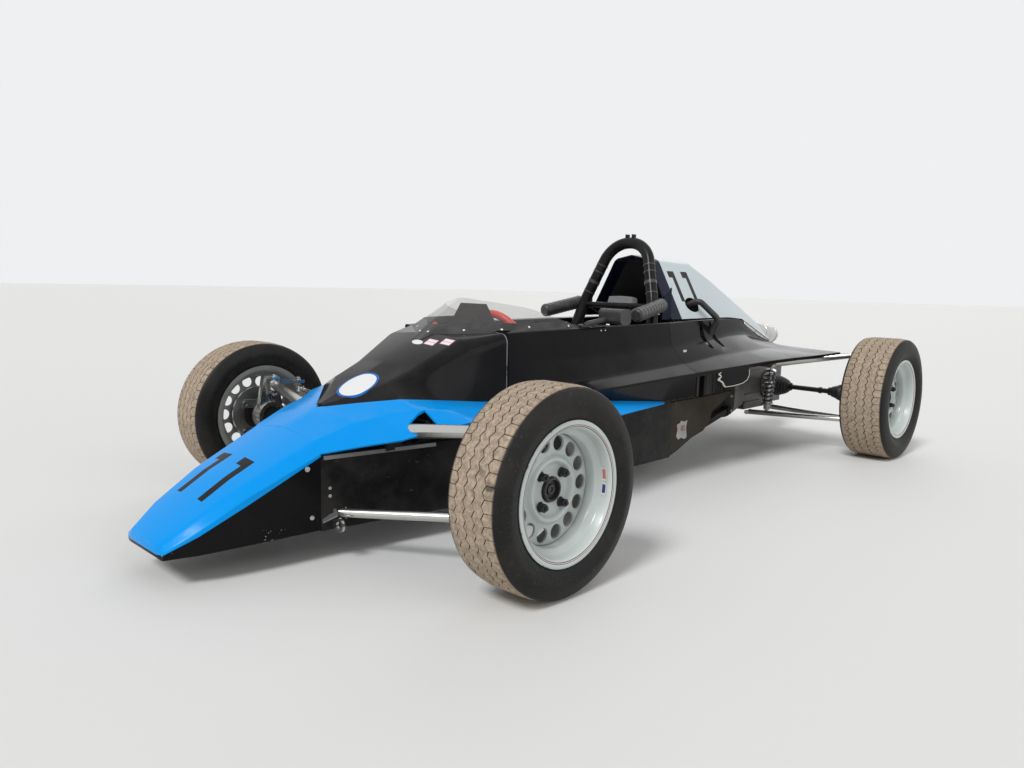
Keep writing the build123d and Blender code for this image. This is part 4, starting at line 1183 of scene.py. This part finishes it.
def add_rivet(bm, place, axis, radius, height):
    """Domed head that starts half a millimetre inside the sheet."""
    axis = Vector(axis).normalized()
    place = Vector(place) - axis * 0.5
    add_disc(bm, place, axis, radius, height * 0.6, 10)
    add_disc(bm, place + axis * height * 0.6, axis, radius, height * 0.6, 10, radius * 0.5)


bm = bmesh.new()
for name, (x0, z0), (x1, z1) in RIVET_ROWS:
    for spot in steps((x0, 0, z0), (x1, 0, z1), RIVET_PITCH):
        add_rivet(bm, *from_left(spot.x, spot.z, name), 3, 1.4)
print("rivets on one side:", len(bm.verts) // 40)
make_pair("skin_rivets", bm, SKIN_BLACK, "skin_black")

# %% Quarter turns and bright screws
QUARTER_TURNS = [
    # node, then (x, z) on the left side, and the radius
    ("nose_cone", 338, 266, 7.5),
    ("nose_cone", 326, 130, 6.5),
    ("side_skins", 274, 205, 4.8),
    ("side_skins", 274, 183, 4.8),
]
BRIGHT_RIVETS_X = (-811, -835)


def add_box(bm, matrix, size):
    bmesh.ops.create_cube(bm, size=1, matrix=matrix @ Matrix.Diagonal((*size, 1)))


def add_quarter_turn(bm, place, normal, radius):
    """Dished washer with a slotted oval head."""
    stand = facing(Vector(place) - normal * 0.6, normal)
    dish = [(0, radius), (1.6, radius * 0.94), (1.8, radius * 0.8), (0.9, radius * 0.62), (0.9, 0)]
    head = [(0.7, radius * 0.58), (2.2, radius * 0.5), (2.5, 0)]
    join(bm, spun(dish, 20, False), stand)
    join(bm, spun(head, 16, False), stand)
    for side in (-1, 1):
        bar = Matrix.Translation((0, side * radius * 0.24, 2.5))
        add_box(bm, stand @ bar, (radius * 0.8, 1.6, 1.2))


bm = bmesh.new()
for name, x, z, radius in QUARTER_TURNS:
    add_quarter_turn(bm, *from_left(x, z, name), radius)
for x in BRIGHT_RIVETS_X:
    add_rivet(bm, *from_left(x, 612, "cockpit_sides"), 3.6, 1.8)
make_pair("panel_fasteners", bm, RIVET, "steel_plated")

# %% Brackets of the lower front arms and the worn top rail of the box
RAIL_ENDS = [(292, 291), (-60, 291)]
RAIL_OUT = Vector((0, 0.6, 0))


def add_beam(bm, start, end, width, height, upright=(0, 0, 1)):
    """Square-edged strip from one place to another."""
    start, end = Vector(start), Vector(end)
    along = (end - start).normalized()
    side = Vector(upright).cross(along).normalized()
    turn = Matrix((along, side, along.cross(side))).transposed().to_4x4()
    add_box(bm, Matrix.Translation((start + end) / 2) @ turn, ((end - start).length, width, height))


bm = bmesh.new()
for (x, y, z), _ in PIVOTS[:2]:
    for offset in (-17, 17):
        add_beam(bm, (x + offset, y - 4, z), (x + offset, y + 20, z), 4, 34)
rail = [from_left(x, z, "side_skins")[0] + RAIL_OUT for x, z in RAIL_ENDS]
add_beam(bm, *rail, 2.4, 11)
add_beam(bm, (298, 193, 118), (264, 214, 136), 3, 24, (0, 1, 0))
make_pair("wishbone_brackets", bm, SHEET, "floor_alloy")

# %% [markdown]
# ## Screen strip
# The clear screen is riveted to the body through a black strip that follows its foot. The strip is
# the outer skin of the screen itself, trimmed by two planes and given a wall, so it bends exactly
# as the screen does. Where its foot hangs just above the body, it is dropped onto it.

# %% Base strip and its white rivets
STRIP_PLANES = [((-340, 0, 643), (0.12, 0, 1)), ((-338, 0, 641), (0.0166, 0, 1))]
SCREEN_MIDDLE = Vector((-500, 0, 500))
STRIP_OUT = 1.4
STRIP_WALL = 2.2
STRIP_DROP = 16
STRIP_RIVETS_X = (-450, -646)
# On the two panes that meet ahead of the driver, as (y, z)
STRIP_RIVETS_YZ = [(20, 608), (118, 616), (216, 622)]


def screen_strip():
    bm = merged_copy("screen")
    inner = [face for face in bm.faces if abs(face.normal.z) > 0.9
             or face.normal.dot(face.calc_center_median() - SCREEN_MIDDLE) < 0]
    bmesh.ops.delete(bm, geom=inner, context="FACES")
    for place, normal in STRIP_PLANES:
        geom = bm.verts[:] + bm.edges[:] + bm.faces[:]
        bmesh.ops.bisect_plane(bm, geom=geom, plane_co=place, plane_no=normal, clear_outer=True)
    bm.normal_update()
    for vert in bm.verts:
        vert.co += vert.normal * STRIP_OUT
        for name in ("scuttle", "cockpit_sides"):
            place, _, _, drop = shell(name).ray_cast(vert.co, Vector((0, 0, -1)))
            if place and vert.is_boundary and drop < STRIP_DROP:
                vert.co = place
    bmesh.ops.solidify(bm, geom=bm.faces[:], thickness=STRIP_WALL)
    return bm


make("screen_strip", screen_strip(), MOULDED, "body_black", smooth=40)
lines = [((x, 700, 630), (x, 0, 630)) for x in STRIP_RIVETS_X]
lines += [((0, y, z), (-600, y, z)) for y, z in STRIP_RIVETS_YZ]
bm = bmesh.new()
for start, towards in lines:
    place, normal = touch(start, towards, "screen")
    add_rivet(bm, place + normal * 2, normal, 4.2, 2)
make_pair("strip_rivets", bm, LABEL, "cover_white")

# %% [markdown]
# ## Dashboard
# Three round instruments face the driver. Each is a rolled bezel, a black face with plain pale
# marks and a pointer. Nothing is written on them.

# %% Instruments
DASH_FACE_X = -440
BACKWARDS = (-1, 0, 0)
DIALS = [
    # y, z, radius, angle of the pointer in degrees
    (0, 626, 40, 205),
    (-98, 590, 28, 140),
    (98, 590, 28, 160),
]
DIAL_MARKS = 27
SWITCHES = [(170, 596), (205, 590), (44, 572)]
KNOB = [(0, 4), (10, 4), (11, 11), (16, 13), (22, 12), (24, 8), (24, 0)]

bezels, marks, switches = bmesh.new(), bmesh.new(), bmesh.new()
for y, z, radius, pointer in DIALS:
    rim = [(-1, radius + 1), (5, radius + 1), (7, radius - 1), (7, radius - 3), (4, radius - 4.5),
           (0, radius - 4.5)]
    join(bezels, spun(rim, 40), facing((DASH_FACE_X, y, z), BACKWARDS))
    face = (DASH_FACE_X - 0.6, y, z)
    stand = facing(face, BACKWARDS)
    for number in range(DIAL_MARKS):
        long = 5 if number % 3 == 0 else 3
        turn = Matrix.Rotation(math.radians(-45 + 270 / (DIAL_MARKS - 1) * number), 4, "Z")
        mark = Matrix.Translation((radius - 7 - long / 2, 0, 0.4))
        add_box(marks, stand @ turn @ mark, (long, 1, 0.8))
    turn = Matrix.Rotation(math.radians(pointer), 4, "Z")
    needle = Matrix.Translation((radius * 0.3, 0, 1.6))
    add_box(marks, stand @ turn @ needle, (radius * 0.75, 1.6, 0.8))
    add_disc(marks, face, BACKWARDS, 4, 2.6, 16)
make("dial_bezels", bezels, MOULDED, "dash_black")
make("dial_marks", marks, LABEL, "cover_white")
for y, z in SWITCHES:
    add_disc(switches, (-435, y, z), BACKWARDS, 8, 3, 6)
    add_disc(switches, (-438, y, z), BACKWARDS, 3, 14, 12, 4)
make_pair("dash_switches", switches, RIVET, "steel_plated")
knob = placed(spun(KNOB, 24, False), facing((-424, -186, 602), (0.6, 0, 0.8)))
make("dash_knob", knob, RED, "grip_red")

# %% [markdown]
# ## Steering wheel
# The grip is padded and covered in red suede, sewn on its inner side. It could be one ring, but
# the stitches are what the eye reads as leather work, so each is a small bar across the seam. The
# three flat spokes are drilled. Each drilled square is bridged from the edge of its hole, which
# leaves a clean round opening without a boolean.

# %% Grip, stitches and spokes
def level_stand(place, axis):
    """Matrix that stands a shape with its Z along an axis and its X straight across the car."""
    axis = Vector(axis).normalized()
    across = Vector((0, 1, 0))
    return Matrix.Translation(place) @ Matrix((across, axis.cross(across), axis)).transposed().to_4x4()


STEERING_AXIS = Vector((-500, 0, 226)).normalized()
STEERING = level_stand((-570, 0, 552), STEERING_AXIS)
GRIP_RING = 122
GRIP_RADIUS = 14
STITCHES = 96
SPOKE_CELL = 26
SPOKE_WALL = 5
HOLE_SIDES = 24
HOLE_RADIUS = 8
BOSS = [(-7, 0), (-7, 38), (6, 38), (7, 37), (7, 24), (13, 22), (14, 20), (14, 0)]


def drilled_cell(x):
    """One square of a spoke with a round hole, so far from the middle."""
    turns = [math.tau * number / HOLE_SIDES for number in range(HOLE_SIDES)]
    ways = [polar(1, turn) for turn in turns]
    outer = [way * SPOKE_CELL / 2 / max(abs(way.x), abs(way.y)) for way in ways]
    cell = bmesh.new()
    bridged(cell, [[way * HOLE_RADIUS for way in ways], outer])
    bmesh.ops.solidify(cell, geom=cell.faces[:], thickness=SPOKE_WALL)
    return placed(cell, Matrix.Translation((x, 0, -SPOKE_WALL / 2)))


turns = [math.tau * number / 20 for number in range(20)]
circle = [(GRIP_RADIUS * math.sin(turn), GRIP_RING + GRIP_RADIUS * math.cos(turn)) for turn in turns]
make("wheel_grip", placed(spun(circle), STEERING), RED, "grip_red", "steering", 60, ["steering_wheel"])
bm = bmesh.new()
for number in range(STITCHES):
    turn = Matrix.Rotation(math.tau * number / STITCHES, 4, "Z")
    stitch = Matrix.Translation((GRIP_RING - GRIP_RADIUS, 0, 0)) @ Matrix.Rotation(0.5, 4, "X")
    add_box(bm, STEERING @ turn @ stitch, (1.4, 1.2, 6))
make("wheel_stitches", bm, TAPE, "dash_black", "steering")
bm = bmesh.new()
for degrees in (0, 90, 180):
    spoke = bmesh.new()
    for x in (46, 72):
        join(spoke, drilled_cell(x))
    for start, end in ((20, 33), (85, 112)):
        add_beam(spoke, (start, 0, 0), (end, 0, 0), SPOKE_CELL, SPOKE_WALL)
    join(bm, spoke, STEERING @ Matrix.Rotation(math.radians(degrees), 4, "Z"))
join(bm, spun(BOSS, 40, False), STEERING)
make("wheel_spokes", bm, MOULDED, "dash_black", "steering")
bm = bmesh.new()
for number in range(6):
    place = STEERING @ polar(30, math.radians(30 + 60 * number), 7)
    add_disc(bm, place, STEERING_AXIS, 4.5, 3.5, 6)
make("wheel_bolts", bm, RIVET, "steel_plated", "steering")

# %% [markdown]
# ## Headrest and padded tubes
# The headrest is a block of grey foam: a cube with many faces, drawn a little towards an ellipsoid,
# so that it is crowned and its sides pull in. The two tubes beside it are foam wound with cloth
# tape. Each turn of the tape laps the last one, so the radius climbs along the turn and then drops.

# %% Headrest and pads
HEADREST = dict(centre=(-1294, 0, 680), half=(70, 50, 23), facing=(1, 0, 0.286))
ROUNDNESS = 0.3
DENT = 0.012
PAD_POINTS = [(-1280, 212, 700), (-1190, 226, 682), (-1065, 236, 660)]
PAD_RADIUS = 28
# At each end, the radius falls by as much over the last millimetres
END_FALL = 7
END_REACH = 9


def foam_block(half):
    """Cube whose points are drawn part of the way to an ellipsoid of the same size."""
    bm = bmesh.new()
    bmesh.ops.create_cube(bm, size=2)
    bmesh.ops.subdivide_edges(bm, edges=bm.edges[:], cuts=14, use_grid_fill=True)
    for vert in bm.verts:
        x, y, z = vert.co
        ball = Vector((
            x * math.sqrt(1 - y * y / 2 - z * z / 2 + y * y * z * z / 3),
            y * math.sqrt(1 - z * z / 2 - x * x / 2 + z * z * x * x / 3),
            z * math.sqrt(1 - x * x / 2 - y * y / 2 + x * x * y * y / 3),
        ))
        dent = 1 - DENT * (1 + math.sin(5 * x + 2 * y) * math.cos(4 * y - 3 * z))
        vert.co = Vector(half) * vert.co.lerp(ball, ROUNDNESS) * dent
    return bm


def wound_tube(points, radius, rings, lap_rings, step=1.5, sides=32):
    """Tube wound with tape that laps itself once in so many rings, rounded at its ends."""
    start, middle, end = (Vector(point) for point in points)
    length = (end - start).length
    bm = bmesh.new()
    loops = []
    for number in range(rings + 1):
        share = number / rings
        along = (middle - start).lerp(end - middle, share).normalized()
        centre = start.lerp(middle, share).lerp(middle.lerp(end, share), share)
        from_end = min(share, 1 - share) * length
        away = radius - END_FALL * max(0, 1 - from_end / END_REACH) ** 2
        stand = facing(centre, along)
        loop = []
        for corner in range(sides):
            turn = corner / sides
            reach = away - step * (1 - (number / lap_rings + turn) % 1)
            loop.append(stand @ polar(reach, turn * math.tau))
        loops.append(loop)
    bridged(bm, loops)
    fill_ends(bm)
    return bm


foam = placed(foam_block(HEADREST["half"]), level_stand(HEADREST["centre"], HEADREST["facing"]))
headrest = make("headrest_foam", foam, FOAM, "headrest_grey", smooth=60, replaces=["headrest"])
pads = wound_tube(PAD_POINTS, PAD_RADIUS, 112, 11)
make_pair("wound_pads", pads, TAPE, "pad_tape", smooth=24, replaces=["hoop_pads"])

# %% [markdown]
# ## Mirror and roll hoop
# The mirror has a real pane: a thin plate with a polished metal finish, set in its housing. Cloth
# tape is wound round its stalk. The hoop is bolted down through its foot plates, and ties hold the
# tape on its legs.

# %% Mirror pane, stalk tape and hoop bolts
MIRROR_PLACE = (-838, 306, 663)
STALK = [(-738, 257, 636), (-776, 270, 644), (-812, 283, 652)]
LEG_LOW = Vector((-1268.1, 172, 715))
LEG_HIGH = Vector((-1336.5, 88, 954))
# Share of the way up the leg, and width
HOOP_TIES = [(0.12, 5), (0.3, 14), (0.48, 5), (0.6, 5)]


def add_bolt(bm, place, axis, radius, height):
    """Washer, and a hexagonal head with its chamfer."""
    axis = Vector(axis).normalized()
    place = Vector(place) - axis * 0.5
    add_disc(bm, place, axis, radius * 1.35, height * 0.3, 16)
    add_disc(bm, place + axis * height * 0.3, axis, radius, height * 0.65, 6)
    add_disc(bm, place + axis * height * 0.95, axis, radius, height * 0.15, 6, radius * 0.85)


GLASS = workshop(
    "polished_glass", (0.80, 0.82, 0.83), 0.03, [((18, 4), (0.5, 0.85), 0, None, 0.12)], metallic=1.0
)
x, y, z = MIRROR_PLACE
bm = bmesh.new()
add_beam(bm, (x - 28.4, y, z), (x - 27.2, y, z), 83, 41)
make("mirror_pane", bm, GLASS)
make("mirror_wrap", wound_tube(STALK, 9.4, 60, 7, 0.9, 20), TAPE, "mirror_black", smooth=24)
bm = bmesh.new()
for x in (-1187, -1136):
    for y in (241, 271):
        add_bolt(bm, (x, y, 340), (0, 0, 1), 5, 5)
for way in (-1, 1):
    add_bolt(bm, (-1341, 19 * way, 978), (0, way, 0), 5, 4)
make_pair("hoop_bolts", bm, PLATED, "steel_plated")
bm = bmesh.new()
for share, width in HOOP_TIES:
    add_ring(bm, LEG_LOW.lerp(LEG_HIGH, share), LEG_HIGH - LEG_LOW, 23.6, 25.4, width)
make_pair("hoop_ties", bm, TAPE, "pad_tape")

# %% [markdown]
# ## Torn edge and tired paint
# The black skin behind the cockpit is torn along its front and lower edge, and the white glass
# fibre shows there. The edge is a row of thin strips in the plane of the skin. A tattered label
# with nothing on it hangs from the brown panel below.

# %% Torn edge, white tab and tattered label
TORN_FRONT = [(-1422, 436), (-1409, 428), (-1424, 418), (-1409, 404), (-1430, 396), (-1441, 388),
              (-1446, 380), (-1455, 373)]
TORN_LOW = [(-1455, 373), (-1506, 374), (-1570, 381), (-1601, 393), (-1615, 413), (-1612, 438)]
DECK_FLARE = 0.124
TAB_HALF = Vector((11, 0, 0))
RAGGED = [(-37, -34), (-20, -40), (4, -31), (22, -38), (37, -22), (31, 2), (36, 26), (14, 31), (8, 40),
          (-16, 33), (-36, 38), (-30, 8)]
FIBRE = plain("raw_fibre", (0.62, 0.61, 0.56), 0.7)


def on_skin(x, z):
    return Vector((x, 426 + DECK_FLARE * (-1500 - x) - 2.5, z))


def tattered(middle, outline, thickness):
    """Thin label on the left side of the rear skins, cut to a ragged outline of (forward, up)."""
    place, normal = from_left(*middle, "rear_skins")
    ahead = Vector((1, 0, 0))
    ahead = (ahead - normal * ahead.dot(normal)).normalized()
    up = normal.cross(ahead)
    up *= math.copysign(1, up.z)
    bm = bmesh.new()
    bm.faces.new([bm.verts.new(place + normal * 0.5 + ahead * a + up * b) for a, b in outline])
    bmesh.ops.solidify(bm, geom=bm.faces[:], thickness=thickness)
    return bm


bm = bmesh.new()
for line, width in ((TORN_FRONT, 4.5), (TORN_LOW, 2.4)):
    for (x0, z0), (x1, z1) in zip(line, line[1:]):
        add_beam(bm, on_skin(x0, z0), on_skin(x1, z1), 6.4, width)
make_pair("torn_edge", bm, FIBRE, "body_black")
place = from_left(-1318, 514, "rear_deck")[0]
bm = bmesh.new()
add_beam(bm, place - TAB_HALF, place + TAB_HALF, 1.4, 16)
make("deck_tab", bm, LABEL, "cover_white")
make("tattered_label", tattered((-1328, 192), RAGGED, 0.8), LABEL, "cover_white")
stripe = [(ahead * 0.42, up * 0.34) for ahead, up in RAGGED]
make("label_stripe", tattered((-1334, 200), stripe, -0.8), RED, "grip_red")

# %% [markdown]
# ## Engine, gearbox and exhaust
# The engine is one plain block in the frame. Flanges, bolts and ribs break its sides up the way
# castings are split: a head on a block on a sump. The gearbox gets a row of bolts at its bell, ribs,
# and a round cover with bolts where each half shaft leaves it.

# %% Castings, clamps and flanges
ENGINE_SIDE = 130
ENGINE_FRONT = -1466
ENGINE_REAR = -1974
# Height and width of each flange
SPLITS = [(478, 9), (262, 11)]
BELL_X = -1988
CASE_SIDE = 100
SHAFT_EXIT = (-2481, 274)
EXIT_COVER = [(-2, 0), (-2, 74), (8, 74), (10, 72), (10, 52), (14, 50), (14, 0)]
CAN_FRONT = Vector((-2300, 0, 582))
CAN_REAR = Vector((-2690, 0, 524))
EXHAUST_PORTS = (-1540, -1600, -1680, -1740)
PORT_HEIGHT = 464
# Place and axis of each clamp
HOSE_CLAMPS = [((-1540, 100.6, 604), (0, 4, 89)), ((-1626, 224, 536.5), (0, 58, 120))]

flanges, bolts, ribs, bands = (bmesh.new() for _ in range(4))
for z, width in SPLITS:
    add_beam(flanges, (ENGINE_FRONT, ENGINE_SIDE + 3, z), (ENGINE_REAR, ENGINE_SIDE + 3, z), 8, width)
    for spot in steps((ENGINE_FRONT - 16, 0, z), (ENGINE_REAR + 16, 0, z), 58):
        add_bolt(bolts, (spot.x, ENGINE_SIDE + 2, z - width / 2), (0, 0, -1), 4, 4)
for spot in steps((ENGINE_FRONT - 30, 0, 0), (ENGINE_REAR + 30, 0, 0), 74):
    x, y = spot.x, ENGINE_SIDE + 1.5
    add_beam(flanges, (x, y, 274), (x, y, 466), 5, 7, (0, 1, 0))
    add_beam(flanges, (x, 0, 593), (x, 112, 593), 8, 8)
make_pair("engine_flanges", flanges, CAST, "alloy_cast")

exit_x, exit_z = SHAFT_EXIT
for number in range(10):
    across, up, _ = polar(62, math.tau * number / 10)
    add_bolt(bolts, (exit_x + across, CASE_SIDE + 9, exit_z + up), (0, 1, 0), 5, 5)
for z in (190, 260, 330, 400, 470):
    add_bolt(bolts, (BELL_X + 6, 168, z), (1, 0, 0), 6, 6)
for y in (60, 105):
    add_bolt(bolts, (-2700, y * 0.6, 190 + y), (-1, 0, 0), 6, 6)
for x in EXHAUST_PORTS:
    y = -ENGINE_SIDE - 3
    add_beam(bands, (x - 34, y, PORT_HEIGHT), (x + 32, y, PORT_HEIGHT), 6, 46)
    for way in (-1, 1):
        add_bolt(bolts, (x - 1 + way * 22, -ENGINE_SIDE - 6, PORT_HEIGHT), (0, -1, 0), 5, 5)
make_pair("casting_bolts", bolts, RIVET, "steel_plated")

join(ribs, spun(EXIT_COVER, 48, False), facing((exit_x, CASE_SIDE, exit_z), (0, 1, 0)))
for z in (196, 236, 318, 356):
    add_beam(ribs, (-2246, CASE_SIDE + 2, z), (-2404, CASE_SIDE + 2, z), 7, 5)
for z in (200, 262, 324):
    add_beam(ribs, (-2545, 77, z), (-2690, 77, z), 6, 5)
make_pair("gearbox_ribs", ribs, CAST, "alloy_cast")

for share in (0.03, 0.34, 0.66, 0.97):
    add_ring(bands, CAN_FRONT.lerp(CAN_REAR, share), CAN_REAR - CAN_FRONT, 46, 48.8, 9, 56)
make("exhaust_bands", bands, SILVER, "steel_plated")
bm = bmesh.new()
for place, axis in HOSE_CLAMPS:
    add_ring(bm, place, axis, 12.6, 14.6, 9, 32)
    away = Vector(axis).normalized().cross(Vector((1, 0, 0)))
    add_disc(bm, Vector(place) + away * 14 + Vector((7, 0, 0)), BACKWARDS, 3, 14, 10)
make("hose_clamps", bm, RIVET, "steel_plated")
dressed("engine", IRON, 7)

# %% [markdown]
# The uprights and the top arms at the rear are bolted together, and the brake caliper lugs at the
# front stay bare, as on the real car.

# %% Bolts of the rear uprights
bm = bmesh.new()
for x in (-2462, -2378):
    for z in (200, 330):
        for y, way in ((612, 1), (566, -1)):
            add_bolt(bm, (x, y, z), (0, way, 0), 6, 5)
make_pair("upright_bolts", bm, PLATED, "steel_plated")
